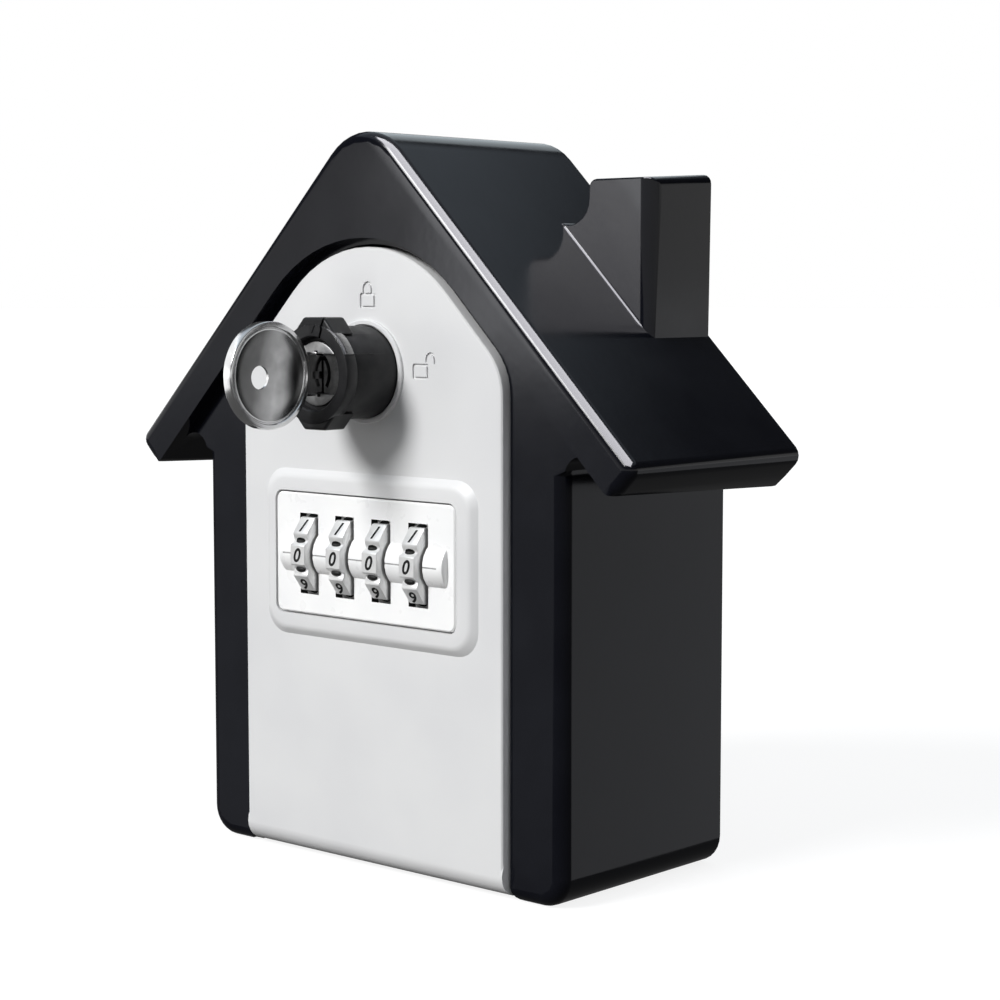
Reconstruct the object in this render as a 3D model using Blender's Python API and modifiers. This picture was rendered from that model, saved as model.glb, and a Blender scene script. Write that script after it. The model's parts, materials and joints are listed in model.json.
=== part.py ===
"""House-shaped key lock box: cast case, drop-down door, four-wheel code lock and key knob.

Metres, +Z up.  X runs across the front, -Y is the front and +Y the wall side.  The origin
is the centre of the flat base.  Outlines are given as (x, z, corner radius).
"""
from math import acos, ceil, cos, pi, radians, sin, sqrt, tan

import bmesh
import bpy
from mathutils import Matrix, Vector

MM = 0.001
GAP = 0.3 * MM            # running gap between neighbouring pieces
ARC_ERROR = 0.05 * MM     # how far an arc's chords may stray from the true arc
DIAGONAL = 1 / sqrt(2)    # the roof pitch is 45 degrees
NORTH_EAST = 2 * DIAGONAL # offset of an x + z = constant line per unit of thickness

# Case
CASE_FRONT = -26 * MM     # front face of the roof
CASE_BACK = 26 * MM       # plane that lies on the wall
WALL_FRONT = -23 * MM     # front face of the walls, behind the roof
WALL = 2.5 * MM
WALL_HALF = 48.8 * MM
APEX = 150.7 * MM         # where the two roof slopes would meet
SLAB = 8.0 * MM           # roof thickness, square to the slope
EAVE_HALF = 67.6 * MM
RIDGE_RADIUS = 13 * MM
RIM_RADIUS = 35 * MM      # arch in the roof's front face
RIM_CENTRE = 89.9 * MM
COVE = 4 * MM

# Door
DOOR_FACE = -24.8 * MM
DOOR_SKIN = 2.2 * MM
DOOR_REAR = -17 * MM      # rear edge of the door's skirt
DOOR_HALF = 35.3 * MM
DOOR_SUM = 135.4 * MM     # x + z along the door's slopes
DOOR_ARCH = 29.5 * MM
DOOR_ARCH_CENTRE = 93.7 * MM
SHOULDER = 12 * MM
SKIRT = 2 * MM
DOOR_GAP = 0.55 * MM
HINGE_Y = -20.6 * MM
HINGE_Z = 4.8 * MM
BARREL = 4.2 * MM
PIN = 1.4 * MM

# Code dial
WHEEL_RADIUS = 10 * MM
WHEEL_WIDTH = 4 * MM
WHEEL_PITCH = 10 * MM
WHEEL_COUNT = 4
DIGITS = 10
AXLE_Y = -19.56 * MM
AXLE_Z = 62.35 * MM
AXLE = 1.5 * MM
FLANGE = 6.5 * MM
HUB = 5.1 * MM
PLATE_HALF = 24.5 * MM
PLATE_TALL = 12.1 * MM
BAR_DROP = 1.8 * MM       # travel of the code bar towards the sleeves' notches

# Knob and key
KNOB_Z = 99 * MM
KNOB_FRONT = -39.3 * MM
PLUG_FACE = -38.1 * MM    # the plug sits back in a counterbore
KNOB_RADIUS = 9 * MM
COLLAR = 9.5 * MM
COLLAR_DEEP = 2.9 * MM
COUNTERBORE = 7 * MM
KNOB_SEAT = DOOR_FACE - 0.25 * MM
LUG_TOP = 10.7 * MM
STEM = 7.6 * MM
STEM_END = -13.4 * MM
PLUG = 6 * MM
PLUG_END = -16.6 * MM
BLADE_HALF = 3.5 * MM
BLADE_THICK = 1.8 * MM
KEY_HEAD = 10.1 * MM
KEY_HEAD_Y = -50.7 * MM
CAM_REACH = 23.3 * MM
CAM_Y = (-13 * MM, -11.2 * MM)

# Fasteners
SCREW = 1.1 * MM
SCREW_HEAD = 2.3 * MM
REAR_SCREWS = [(-42.9, 11), (42.9, 11), (-42.9, 92), (42.9, 92), (0, 139.4)]
WALL_HOLES = [(-25, 30), (25, 30), (-25, 90), (25, 90)]
STRIKE_SCREWS = [(-6, 129.8), (6, 129.8)]
DIAL_SCREWS = [(-28.3, 50.5), (28.3, 50.5), (-28.3, 81), (28.3, 81)]

PLANES = {  # local x, y and z of a flat outline in the world
    "XZ": Matrix(((1, 0, 0), (0, 0, -1), (0, 1, 0))).to_4x4(),
    "YZ": Matrix(((0, 0, 1), (1, 0, 0), (0, 1, 0))).to_4x4(),
    "XY": Matrix.Identity(4),
}


# ---------------------------------------------------------------- scene and materials

def clear_scene():
    for obj in list(bpy.data.objects):
        bpy.data.objects.remove(obj, do_unlink=True)


def make_collection(name):
    collection = bpy.data.collections.new(name)
    bpy.context.scene.collection.children.link(collection)
    return collection


def make_material(name, colour, roughness, metallic):
    material = bpy.data.materials.new(name)
    material.use_nodes = True
    shader = material.node_tree.nodes["Principled BSDF"]
    shader.inputs["Base Color"].default_value = (*colour, 1)
    shader.inputs["Roughness"].default_value = roughness
    shader.inputs["Metallic"].default_value = metallic
    return material


def make_node(obj, name, material_name):
    """Turn a shape into a named sub-part of the lock box."""
    obj.name = name
    obj.data.name = name
    obj.data.materials.clear()
    obj.data.materials.append(MATERIALS[material_name])
    obj.data.shade_smooth()
    obj.data.set_sharp_from_angle(angle=radians(30))
    PARTS.objects.link(obj)
    return obj


def make_tool(obj):
    """Keep a shape only as the second operand of a Boolean."""
    obj.display_type = "WIRE"
    obj.hide_render = True
    if obj.name not in TOOLS.objects:
        TOOLS.objects.link(obj)


# ---------------------------------------------------------------- outlines

def arc_steps(radius, angle):
    step = 2 * acos(1 - min(ARC_ERROR / radius, 0.2))
    return max(2, ceil(angle / step))


def arc(centre_u, centre_v, radius, start, end):
    steps = arc_steps(radius, abs(end - start))
    angles = [start + (end - start) * i / steps for i in range(steps + 1)]
    return [(centre_u + radius * cos(a), centre_v + radius * sin(a)) for a in angles]


def corner_arc(before, corner, after, radius):
    """Points of the arc of the given radius that rounds one corner of an outline."""
    here = Vector(corner)
    back = (Vector(before) - here).normalized()
    ahead = (Vector(after) - here).normalized()
    half = back.angle(ahead) / 2
    start = here + back * radius / tan(half)
    centre = here + (back + ahead).normalized() * radius / sin(half)
    spoke = start - centre
    turn = pi - 2 * half
    if back.x * ahead.y - back.y * ahead.x > 0:
        turn = -turn
    steps = arc_steps(radius, abs(turn))
    points = []
    for i in range(steps + 1):
        spin = Matrix.Rotation(turn * i / steps, 2)
        points.append(tuple(centre + spin @ spoke))
    return points


def rounded(corners):
    """Outline from (u, v, radius) corners; radius 0 leaves a corner sharp."""
    points = []
    for i, (u, v, radius) in enumerate(corners):
        if radius:
            before = corners[i - 1][:2]
            after = corners[(i + 1) % len(corners)][:2]
            points += corner_arc(before, (u, v), after, radius)
        else:
            points.append((u, v))
    return points


def rectangle(u0, v0, u1, v1, radius=0.0):
    return rounded([(u0, v0, radius), (u1, v0, radius), (u1, v1, radius), (u0, v1, radius)])


def mirrored(half):
    """Close an outline whose right half runs from the bottom to the top."""
    return half + [(-u, v) for u, v in reversed(half) if u > 1e-9]


def arch_half(half_width, slope_sum, shoulder, arch_radius, arch_centre, bottom):
    """Right half of a door-like outline: side, rounded shoulder, 45 degree slope, arch."""
    top = slope_sum - half_width
    apex = (0.0, slope_sum)
    points = [(half_width, bottom)]
    points += corner_arc((half_width, bottom), (half_width, top), apex, shoulder)
    points += arc(0, arch_centre, arch_radius, pi / 4, pi / 2)
    return points


def door_half(inset, bottom):
    return arch_half(DOOR_HALF - inset, DOOR_SUM - inset * NORTH_EAST, SHOULDER - inset,
                     DOOR_ARCH - inset, DOOR_ARCH_CENTRE, bottom)


def cavity_outline(inset):
    """Inside of the walls and roof, drawn in by inset, as seen from the front."""
    side = WALL_HALF - WALL - inset
    base = WALL + inset
    apex = APEX - (WALL + inset) * NORTH_EAST
    ridge = RIDGE_RADIUS - WALL - inset
    return rounded([(-side, base, 3.5 * MM), (side, base, 3.5 * MM),
                    (side, apex - side, 2 * MM), (0, apex, ridge),
                    (-side, apex - side, 2 * MM)])


# ---------------------------------------------------------------- solids

def object_from_bmesh(bm, name):
    mesh = bpy.data.meshes.new(name)
    bm.to_mesh(mesh)
    bm.free()
    return bpy.data.objects.new(name, mesh)


def prism(name, outline, plane, low, high):
    """Extrude a flat outline between two heights along the plane's third direction."""
    curve = bpy.data.curves.new(name, "CURVE")
    curve.dimensions = "2D"
    curve.fill_mode = "BOTH"
    curve.extrude = (high - low) / 2
    spline = curve.splines.new("POLY")
    spline.points.add(len(outline) - 1)
    for point, (u, v) in zip(spline.points, outline):
        point.co = (u, v, 0, 1)
    spline.use_cyclic_u = True
    outline_object = bpy.data.objects.new(name, curve)
    TOOLS.objects.link(outline_object)
    graph = bpy.context.evaluated_depsgraph_get()
    mesh = bpy.data.meshes.new_from_object(outline_object.evaluated_get(graph))
    bpy.data.objects.remove(outline_object)
    bpy.data.curves.remove(curve)
    middle = (low + high) / 2
    offset = {"XZ": (0, middle, 0), "YZ": (middle, 0, 0), "XY": (0, 0, middle)}[plane]
    mesh.transform(Matrix.Translation(offset) @ PLANES[plane])
    bm = bmesh.new()
    bm.from_mesh(mesh)
    bpy.data.meshes.remove(mesh)
    bmesh.ops.remove_doubles(bm, verts=bm.verts, dist=1e-6)
    bmesh.ops.dissolve_limit(bm, angle_limit=radians(0.5), verts=bm.verts, edges=bm.edges)
    bmesh.ops.recalc_face_normals(bm, faces=bm.faces)
    return object_from_bmesh(bm, name)


def box(name, low, high):
    bm = bmesh.new()
    bmesh.ops.create_cube(bm, size=1)
    size = [h - l for l, h in zip(low, high)]
    centre = [(h + l) / 2 for l, h in zip(low, high)]
    bmesh.ops.scale(bm, vec=size, verts=bm.verts)
    bmesh.ops.translate(bm, vec=centre, verts=bm.verts)
    return object_from_bmesh(bm, name)


def cylinder(name, axis, centre, radius, low, high, segments=24):
    """Cylinder along X or Y; centre holds its other two coordinates in order."""
    bm = bmesh.new()
    bmesh.ops.create_cone(bm, cap_ends=True, segments=segments, radius1=radius,
                          radius2=radius, depth=high - low)
    plane = {"Y": "XZ", "X": "YZ"}[axis]
    middle = (low + high) / 2
    place = {"Y": (centre[0], middle, centre[1]), "X": (middle, centre[0], centre[1])}[axis]
    bmesh.ops.transform(bm, matrix=Matrix.Translation(place) @ PLANES[plane], verts=bm.verts)
    return object_from_bmesh(bm, name)


def turned(name, profile, segments=32):
    """Solid turned about the knob's axis from (radius, y) points, front to back."""
    bm = bmesh.new()
    verts = [bm.verts.new((radius, y, 0)) for radius, y in profile]
    for first, second in zip(verts, verts[1:]):
        bm.edges.new((first, second))
    obj = object_from_bmesh(bm, name)
    obj.location = (0, 0, KNOB_Z)
    screw = obj.modifiers.new("turn", "SCREW")
    screw.axis = "Y"
    screw.steps = segments
    screw.render_steps = segments
    screw.use_merge_vertices = True
    screw.merge_threshold = 1e-6
    return obj


def bevel(obj, width, segments=2, angle=40):
    modifier = obj.modifiers.new("rounded edges", "BEVEL")
    modifier.width = width
    modifier.segments = segments
    modifier.limit_method = "ANGLE"
    modifier.angle_limit = radians(angle)
    return obj


def bevel_by_weight(obj, width, segments, weight_at):
    """Bevel an edge by weight_at(middle of the edge), from 0 to 1, of the full width."""
    bm = bmesh.new()
    bm.from_mesh(obj.data)
    layer = bm.edges.layers.float.new("bevel_weight_edge")
    for edge in bm.edges:
        first, second = (vert.co for vert in edge.verts)
        if edge.calc_face_angle(0) > radians(40):
            edge[layer] = weight_at((first + second) / 2, second - first)
    bm.to_mesh(obj.data)
    bm.free()
    modifier = obj.modifiers.new("rounded edges", "BEVEL")
    modifier.width = width
    modifier.segments = segments
    modifier.limit_method = "WEIGHT"
    modifier.use_clamp_overlap = False
    return obj


def combine(obj, operation, *tools):
    for tool in tools:
        make_tool(tool)
        modifier = obj.modifiers.new(operation.lower(), "BOOLEAN")
        modifier.operation = operation
        modifier.object = tool
    return obj


def join(obj, *tools):
    return combine(obj, "UNION", *tools)


def cut(obj, *tools):
    return combine(obj, "DIFFERENCE", *tools)


def screw_solid(x, z, head_front, head_rear, tip, head=SCREW_HEAD):
    """Pan-head screw along Y with a cross recess; its tip points to the front."""
    solid = cylinder("screw", "Y", (x, z), head, head_front, head_rear, 12)
    shank = cylinder("shank", "Y", (x, z), SCREW, tip, head_front + GAP, 8)
    depth = head_rear - 0.7 * MM
    long, short = 0.65 * head, 0.25 * MM
    across = box("slot", (x - long, depth, z - short), (x + long, head_rear + GAP, z + short))
    upright = box("slot", (x - short, depth, z - long), (x + short, head_rear + GAP, z + long))
    join(solid, shank)
    return cut(solid, across, upright)


# ---------------------------------------------------------------- case

def roof():
    """Gable slab over the full depth, with the arch that frames the door."""
    eave_z = APEX - EAVE_HALF
    drop = SLAB * DIAGONAL
    under = APEX - SLAB * NORTH_EAST
    corner, fillet = 2.4 * MM, 2.2 * MM
    half = [(0, RIM_CENTRE + RIM_RADIUS)]
    half += [(u, v) for u, v in reversed(arc(0, RIM_CENTRE, RIM_RADIUS, pi / 4, pi / 2)[:-1])]
    low_corner = (EAVE_HALF - drop, eave_z - drop)
    outer_corner = (EAVE_HALF, eave_z)
    half += corner_arc((0, under), low_corner, outer_corner, corner)
    half += corner_arc(low_corner, outer_corner, (0, APEX), corner)
    ridge_centre = APEX - RIDGE_RADIUS / DIAGONAL
    half += arc(0, ridge_centre, RIDGE_RADIUS, pi / 4, pi / 2)
    left = [(-u, v) for u, v in reversed(half[1:-1])]
    slab = prism("roof", half + left, "XZ", -CASE_BACK, -CASE_FRONT)
    slab.data.transform(Matrix.Scale(-1, 4, (0, 1, 0)))
    slab.data.flip_normals()
    thicken_eaves_to_the_back(slab)

    def weight(middle, direction):
        if middle.y > CASE_FRONT + 1e-6 or abs(direction.y) > 1e-6:
            return 0.0
        on_rim = abs(middle.x) + middle.z < under + 1.5 * MM
        return 0.0 if on_rim else 1.0

    return bevel_by_weight(slab, fillet, 6, weight)


def thicken_eaves_to_the_back(slab):
    """Casting draft: the underside's outer edge lies lower at the wall than at the front."""
    draft = 2.3 * MM * DIAGONAL
    bm = bmesh.new()
    bm.from_mesh(slab.data)
    for vert in bm.verts:
        depth = (APEX - abs(vert.co.x) - vert.co.z) * DIAGONAL
        if vert.co.y > 0 and abs(vert.co.x) > WALL_HALF and depth > 0.7 * SLAB:
            vert.co.x -= draft if vert.co.x > 0 else -draft
            vert.co.z -= draft
    skewed = [face for face in bm.faces if abs(face.normal.y) < 0.9 and face.normal.z < -0.1]
    bmesh.ops.triangulate(bm, faces=skewed)
    bm.to_mesh(slab.data)
    bm.free()


def walls():
    """Solid block of the house below the roof, with a cove under each eave."""
    under = APEX - SLAB * NORTH_EAST
    junction = under - WALL_HALF
    reach = 9 * MM
    buried = 3 * MM
    half = [(WALL_HALF, 0, 6 * MM), (WALL_HALF, junction, COVE),
            (WALL_HALF + reach + 1 * MM, junction - reach - 1 * MM, 0),
            (WALL_HALF + reach + buried, junction - reach + buried, 0)]
    top = [(0, under + 2 * buried, RIDGE_RADIUS)]
    left = [(-x, z, radius) for x, z, radius in reversed(half)]
    block = prism("walls", rounded(half + top + left), "XZ", WALL_FRONT, CASE_BACK)

    def weight(middle, direction):
        at_front = middle.y < WALL_FRONT + 1e-6 and abs(direction.y) < 1e-6
        return 1.0 if at_front and middle.z < junction - COVE * 2 else 0.0

    return bevel_by_weight(block, 2.6 * MM, 6, weight)


def chimney():
    """Chimney with rounded front corners, whose left side runs out in a cove on the slope."""
    left, right, top = 29.7 * MM, 45 * MM, 136.3 * MM
    front, lean, rear = 7 * MM, 0.5 * MM, CASE_BACK - 0.1 * MM
    slope = APEX - 0.5 * MM
    tip = left - 9 * MM
    side = rounded([(left, slope - left, 5 * MM), (tip, slope - tip, 0),
                    (tip - 1.4 * MM, slope - tip - 1.4 * MM, 0), (right, slope - right - 4 * MM, 0),
                    (right + lean, top, 1.8 * MM), (left, top, 1.8 * MM)])
    block = prism("chimney", side, "XZ", front - MM, rear)
    raise_towards_wall(block, top)
    plan = rounded([(tip - 3 * MM, front, 0), (right + lean, front, 3.1 * MM),
                    (right + lean, CASE_BACK, 0), (tip - 3 * MM, CASE_BACK, 0)])
    combine(block, "INTERSECT", prism("chimney_plan", plan, "XY", 90 * MM, 145 * MM))
    return bevel(block, 1.1 * MM, 3, 50)


def raise_towards_wall(block, top):
    """The chimney's top rises a little towards the wall."""
    for vert in block.data.vertices:
        if vert.co.y > 0.02 and vert.co.z > top - 3 * MM:
            vert.co.z += 1.1 * MM


def rear_posts():
    return [cylinder("post", "Y", (x * MM, z * MM), 3.6 * MM, 4 * MM, 23 * MM, 12)
            for x, z in REAR_SCREWS]


def hinge_lugs():
    inner = DOOR_HALF + DOOR_GAP
    return [box("lug", (min(side * inner, side * 41 * MM), -21 * MM, 2 * MM),
                (max(side * inner, side * 41 * MM), -15.5 * MM, 9.5 * MM))
            for side in (-1, 1)]


def house_shell():
    shell = roof()
    join(shell, walls(), chimney())
    cut(shell, prism("cavity", cavity_outline(0), "XZ", WALL_FRONT + WALL, CASE_BACK + WALL))
    join(shell, *hinge_lugs(), *rear_posts())
    side = DOOR_HALF + DOOR_GAP
    foot = 2.5 * MM
    flare = [(side + foot, -MM)] + arc(side + foot, foot, foot, 3 * pi / 2, pi)
    opening = mirrored(flare + door_half(-DOOR_GAP, foot)[1:])
    cut(shell, prism("opening", opening, "XZ", WALL_FRONT - 5 * MM, WALL_FRONT + 3 * MM))
    cut(shell, box("sill_cut", (-side, -25 * MM, -5 * MM), (side, -16 * MM, 9.6 * MM)))
    cut(shell, cylinder("pin_bore", "X", (HINGE_Y, HINGE_Z), PIN + GAP, -39.8 * MM, 39.8 * MM, 16))
    cut(shell, *[cylinder("post_hole", "Y", (x * MM, z * MM), SCREW + GAP, 9 * MM, 25 * MM, 12)
                 for x, z in REAR_SCREWS])
    cut(shell, *[cylinder("strike_hole", "Y", (x * MM, z * MM), SCREW + GAP,
                          -23 * MM, -20 * MM, 12) for x, z in STRIKE_SCREWS])
    return make_node(shell, "house_shell", "black_paint")


def rear_cover():
    front = CASE_BACK - 2.7 * MM
    cover = bevel(prism("cover", cavity_outline(0.35 * MM), "XZ", front, CASE_BACK),
                  0.4 * MM, 1, 50)
    for x, z in REAR_SCREWS:
        place = (x * MM, z * MM)
        cut(cover, cylinder("clearance", "Y", place, SCREW + GAP, front - WALL, CASE_BACK, 12),
            cylinder("recess", "Y", place, SCREW_HEAD + 0.8 * MM, 24.3 * MM, 27 * MM, 12))
    for x, z in WALL_HOLES:
        cut(cover, cylinder("wall_hole", "Y", (x * MM, z * MM), 2.6 * MM,
                            front - WALL, CASE_BACK + WALL, 12))
    return make_node(cover, "rear_cover", "black_paint")


def rear_cover_screws():
    return [make_node(screw_solid(x * MM, z * MM, 24.6 * MM, 25.8 * MM, 11 * MM),
                      f"rear_cover_screw_{number}", "zinc")
            for number, (x, z) in enumerate(REAR_SCREWS, 1)]


def key_hook_rail():
    """Strip on the rear cover with three upturned pegs for keys."""
    rail = prism("rail", rectangle(-22 * MM, 98.5 * MM, 22 * MM, 104.5 * MM, 2 * MM), "XZ",
                 21.6 * MM, 23 * MM)
    for x in (-15, 0, 15):
        peg = [(22 * MM, 100.6 * MM), (12.6 * MM, 100.6 * MM), (11.6 * MM, 101.4 * MM),
               (11.6 * MM, 104.4 * MM), (13.2 * MM, 104.4 * MM), (13.2 * MM, 102.4 * MM),
               (22 * MM, 102.4 * MM)]
        join(rail, prism("peg", peg, "YZ", (x - 0.9) * MM, (x + 0.9) * MM))
    return make_node(rail, "key_hook_rail", "zinc")


def strike_plate():
    plate = prism("strike", rectangle(-9 * MM, 125 * MM, 9 * MM, 134.5 * MM, 1.2 * MM), "XZ",
                  -20.2 * MM, -18.7 * MM)
    cut(plate, *[cylinder("hole", "Y", (x * MM, z * MM), SCREW + GAP, -21 * MM, -18 * MM, 12)
                 for x, z in STRIKE_SCREWS])
    return make_node(plate, "strike_plate", "zinc")


def strike_screws():
    return [make_node(screw_solid(x * MM, z * MM, -18.4 * MM, -16.9 * MM, -22.4 * MM),
                      f"strike_screw_{number}", "zinc")
            for number, (x, z) in enumerate(STRIKE_SCREWS, 1)]


def hinge_pin():
    pin = cylinder("pin", "X", (HINGE_Y, HINGE_Z), PIN, -39.3 * MM, 39.3 * MM, 16)
    return make_node(bevel(pin, 0.3 * MM, 1), "hinge_pin", "zinc")


# ---------------------------------------------------------------- door

def raised_frame():
    """Low surround of the dial whose four sides slope in towards the front."""
    middle, half, tall, slope = 0.5 * MM, 30.1 * MM, 18 * MM, 2.6 * MM
    base = rectangle(middle - half, AXLE_Z - tall, middle + half, AXLE_Z + tall, 5.5 * MM)
    frame = prism("frame", base, "XZ", CASE_FRONT, DOOR_FACE + 1 * MM)
    shrink_x = 1 - slope / half
    shrink_z = 1 - slope / tall
    for vert in frame.data.vertices:
        if vert.co.y < CASE_FRONT + 1e-6:
            vert.co.x = middle + (vert.co.x - middle) * shrink_x
            vert.co.z = AXLE_Z + (vert.co.z - AXLE_Z) * shrink_z
    return bevel(frame, 0.7 * MM, 3, 20)


def padlock_cutters(x, z, open_shackle):
    """Outline of a small generic padlock, body and shackle."""
    deep = DOOR_FACE + 0.35 * MM
    out = DOOR_FACE - 1 * MM
    half, low, high = 2.1 * MM, z - 2.7 * MM, z + 0.3 * MM
    line = 0.5 * MM
    body = prism("body", rectangle(x - half, low, x + half, high, 0.4 * MM), "XZ", out, deep)
    cut(body, box("core", (x - half + line, out - MM, low + line),
                  (x + half - line, deep + MM, high - line)))
    shift = 2.6 * MM if open_shackle else 0
    ring_x, ring_z = x + shift, high + 0.9 * MM
    bow = arc(ring_x, ring_z, 1.35 * MM, 0, pi)
    inner = [(u, v) for u, v in reversed(arc(ring_x, ring_z, 0.85 * MM, 0, pi))]
    left_leg = (high - 0.1 * MM) if not open_shackle else ring_z - 0.6 * MM
    right_leg = (high - 0.1 * MM) if not open_shackle else ring_z - 0.9 * MM
    outline = bow + [(ring_x - 1.35 * MM, left_leg), (ring_x - 0.85 * MM, left_leg)] + inner
    outline += [(ring_x + 0.85 * MM, right_leg), (ring_x + 1.35 * MM, right_leg)]
    return [body, prism("shackle", outline, "XZ", out, deep)]


def door_panel():
    door = prism("door", mirrored(door_half(0, HINGE_Z)), "XZ", DOOR_FACE, DOOR_REAR)

    def weight(middle, direction):
        at_front = middle.y < DOOR_FACE + 1e-6 and middle.z > HINGE_Z + 1e-6
        return 1.0 if at_front else 0.0

    bevel_by_weight(door, 0.7 * MM, 3, weight)
    join(door, cylinder("barrel", "X", (HINGE_Y, HINGE_Z), BARREL, -DOOR_HALF, DOOR_HALF, 24))
    pocket = mirrored(door_half(SKIRT, 10 * MM))
    inside = DOOR_FACE + DOOR_SKIN
    cut(door, prism("pocket", pocket, "XZ", inside, DOOR_REAR + 2 * MM))
    join(door, raised_frame())
    join(door, bevel(cylinder("ring", "Y", (0, KNOB_Z), KNOB_RADIUS + 1.15 * MM,
                              DOOR_FACE - 0.7 * MM, DOOR_FACE + 1 * MM, 40), 0.2 * MM, 1))
    cut(door, cylinder("ring_seat", "Y", (0, KNOB_Z), KNOB_RADIUS + GAP, -27 * MM,
                       DOOR_FACE + 0.05 * MM, 40))
    join(door, *[cylinder("post", "Y", (x * MM, z * MM), 2.6 * MM, inside - 0.5 * MM,
                          DOOR_REAR - GAP, 10) for x, z in DIAL_SCREWS])
    join(door, *door_brackets(inside - 0.5 * MM))
    cut(door, *dial_cutters(inside))
    cut(door, cylinder("knob_hole", "Y", (0, KNOB_Z), STEM + 0.4 * MM, -27 * MM, -15 * MM, 32))
    cut(door, cylinder("pin_bore", "X", (HINGE_Y, HINGE_Z), PIN + GAP, -40 * MM, 40 * MM, 16))
    cut(door, cylinder("axle_bore", "X", (AXLE_Y, AXLE_Z), AXLE + GAP, -30 * MM, 30 * MM, 12))
    cut(door, *[cylinder("screw_hole", "Y", (x * MM, z * MM), SCREW + GAP, -22 * MM, -16 * MM, 12)
                for x, z in DIAL_SCREWS])
    cut(door, *padlock_cutters(0.5 * MM, 114 * MM, False))
    cut(door, *padlock_cutters(14.6 * MM, 100.6 * MM, True))
    return make_node(door, "door_panel", "grey_paint")


def door_brackets(root):
    """Two cheeks that carry the axle and two ribs that guide the code bar."""
    solids = []
    for side in (-1, 1):
        near, far = sorted((side * 19.9 * MM, side * 23.7 * MM))
        solids.append(box("cheek", (near, root, AXLE_Z - 5 * MM), (far, -15.6 * MM, AXLE_Z + 5 * MM)))
        near, far = sorted((side * 2.4 * MM, side * 4.2 * MM))
        solids.append(box("guide", (near, root, 79 * MM), (far, -18.2 * MM, 88 * MM)))
    return solids


def dial_cutters(inside):
    """Recess for the dial plate and the window through which the wheels pass."""
    play = 0.35 * MM
    recess = rectangle(-PLATE_HALF - play, AXLE_Z - PLATE_TALL - play,
                       PLATE_HALF + play, AXLE_Z + PLATE_TALL + play, 1.9 * MM)
    window = (WHEEL_RADIUS + GAP) * 0.99
    return [prism("recess", recess, "XZ", CASE_FRONT - MM, DOOR_FACE + 0.9 * MM),
            box("window", (-19.6 * MM, CASE_FRONT, AXLE_Z - window),
                (19.6 * MM, inside + MM, AXLE_Z + window))]


def dial_plate():
    """White plate with one slot for each wheel and a hollow bulge that clears the sleeves."""
    rear = DOOR_FACE + 0.6 * MM
    outline = rectangle(-PLATE_HALF, AXLE_Z - PLATE_TALL, PLATE_HALF, AXLE_Z + PLATE_TALL, 1.6 * MM)
    plate = bevel(prism("plate", outline, "XZ", CASE_FRONT, rear), 0.3 * MM, 1)
    radius, proud = 5.3 * MM, 1.7 * MM
    middle_y = CASE_FRONT - proud + radius
    reach = acos((radius - proud - 0.5 * MM) / radius)
    section = arc(middle_y, AXLE_Z, radius, pi - reach, pi + reach)
    bulge = prism("bulge", section, "YZ", -22.3 * MM, 22.6 * MM)
    join(plate, bevel(bulge, 1.3 * MM, 2, 50))
    slot = WHEEL_WIDTH / 2 + 0.6 * MM
    cut(plate, *[cylinder("slot", "X", (AXLE_Y, AXLE_Z), WHEEL_RADIUS + 0.4 * MM,
                          x - slot, x + slot, 32) for x in wheel_places()])
    cut(plate, cylinder("relief", "X", (AXLE_Y, AXLE_Z), FLANGE + 0.4 * MM,
                        -19.7 * MM, 19.7 * MM, 32))
    return make_node(plate, "dial_plate", "white_plastic")


def wheel_places():
    first = -WHEEL_PITCH * (WHEEL_COUNT - 1) / 2
    return [first + WHEEL_PITCH * i for i in range(WHEEL_COUNT)]


def dial_axle():
    axle = cylinder("axle", "X", (AXLE_Y, AXLE_Z), AXLE, -23.3 * MM, 23.3 * MM, 12)
    return make_node(axle, "dial_axle", "zinc")


def digit_wheel(number, x):
    """Ring with ten shallow scallops between its digit faces, digit 0 to the front."""
    steps = 3 * DIGITS
    scallop = 0.5 * MM
    outline = []
    for i in range(steps):
        angle = 2 * pi * i / steps
        radius = WHEEL_RADIUS - scallop * (1 - cos(DIGITS * angle)) / 2
        outline.append((AXLE_Y + radius * cos(angle), AXLE_Z + radius * sin(angle)))
    wheel = prism("wheel", outline, "YZ", x - WHEEL_WIDTH / 2, x + WHEEL_WIDTH / 2)
    cut(wheel, cylinder("bore", "X", (AXLE_Y, AXLE_Z), HUB + GAP, x - 5 * MM, x + 5 * MM, 20))
    return make_node(wheel, f"digit_wheel_{number}", "chrome")


def code_sleeve(number, x):
    """Hub inside a digit wheel with a flange whose notch stands under the code bar."""
    inner = x + WHEEL_WIDTH / 2 + 0.4 * MM
    sleeve = cylinder("hub", "X", (AXLE_Y, AXLE_Z), HUB, x - WHEEL_WIDTH / 2, inner + MM, 20)
    join(sleeve, cylinder("flange", "X", (AXLE_Y, AXLE_Z), FLANGE, inner, inner + 1.9 * MM, 20))
    cut(sleeve, cylinder("bore", "X", (AXLE_Y, AXLE_Z), AXLE + GAP, x - 9 * MM, x + 9 * MM, 12))
    cut(sleeve, box("notch", (inner - 0.02 * MM, AXLE_Y - 1.5 * MM, AXLE_Z + 4.9 * MM),
                    (inner + 3 * MM, AXLE_Y + 1.5 * MM, AXLE_Z + 9 * MM)))
    return make_node(sleeve, f"code_sleeve_{number}", "brass")


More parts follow.
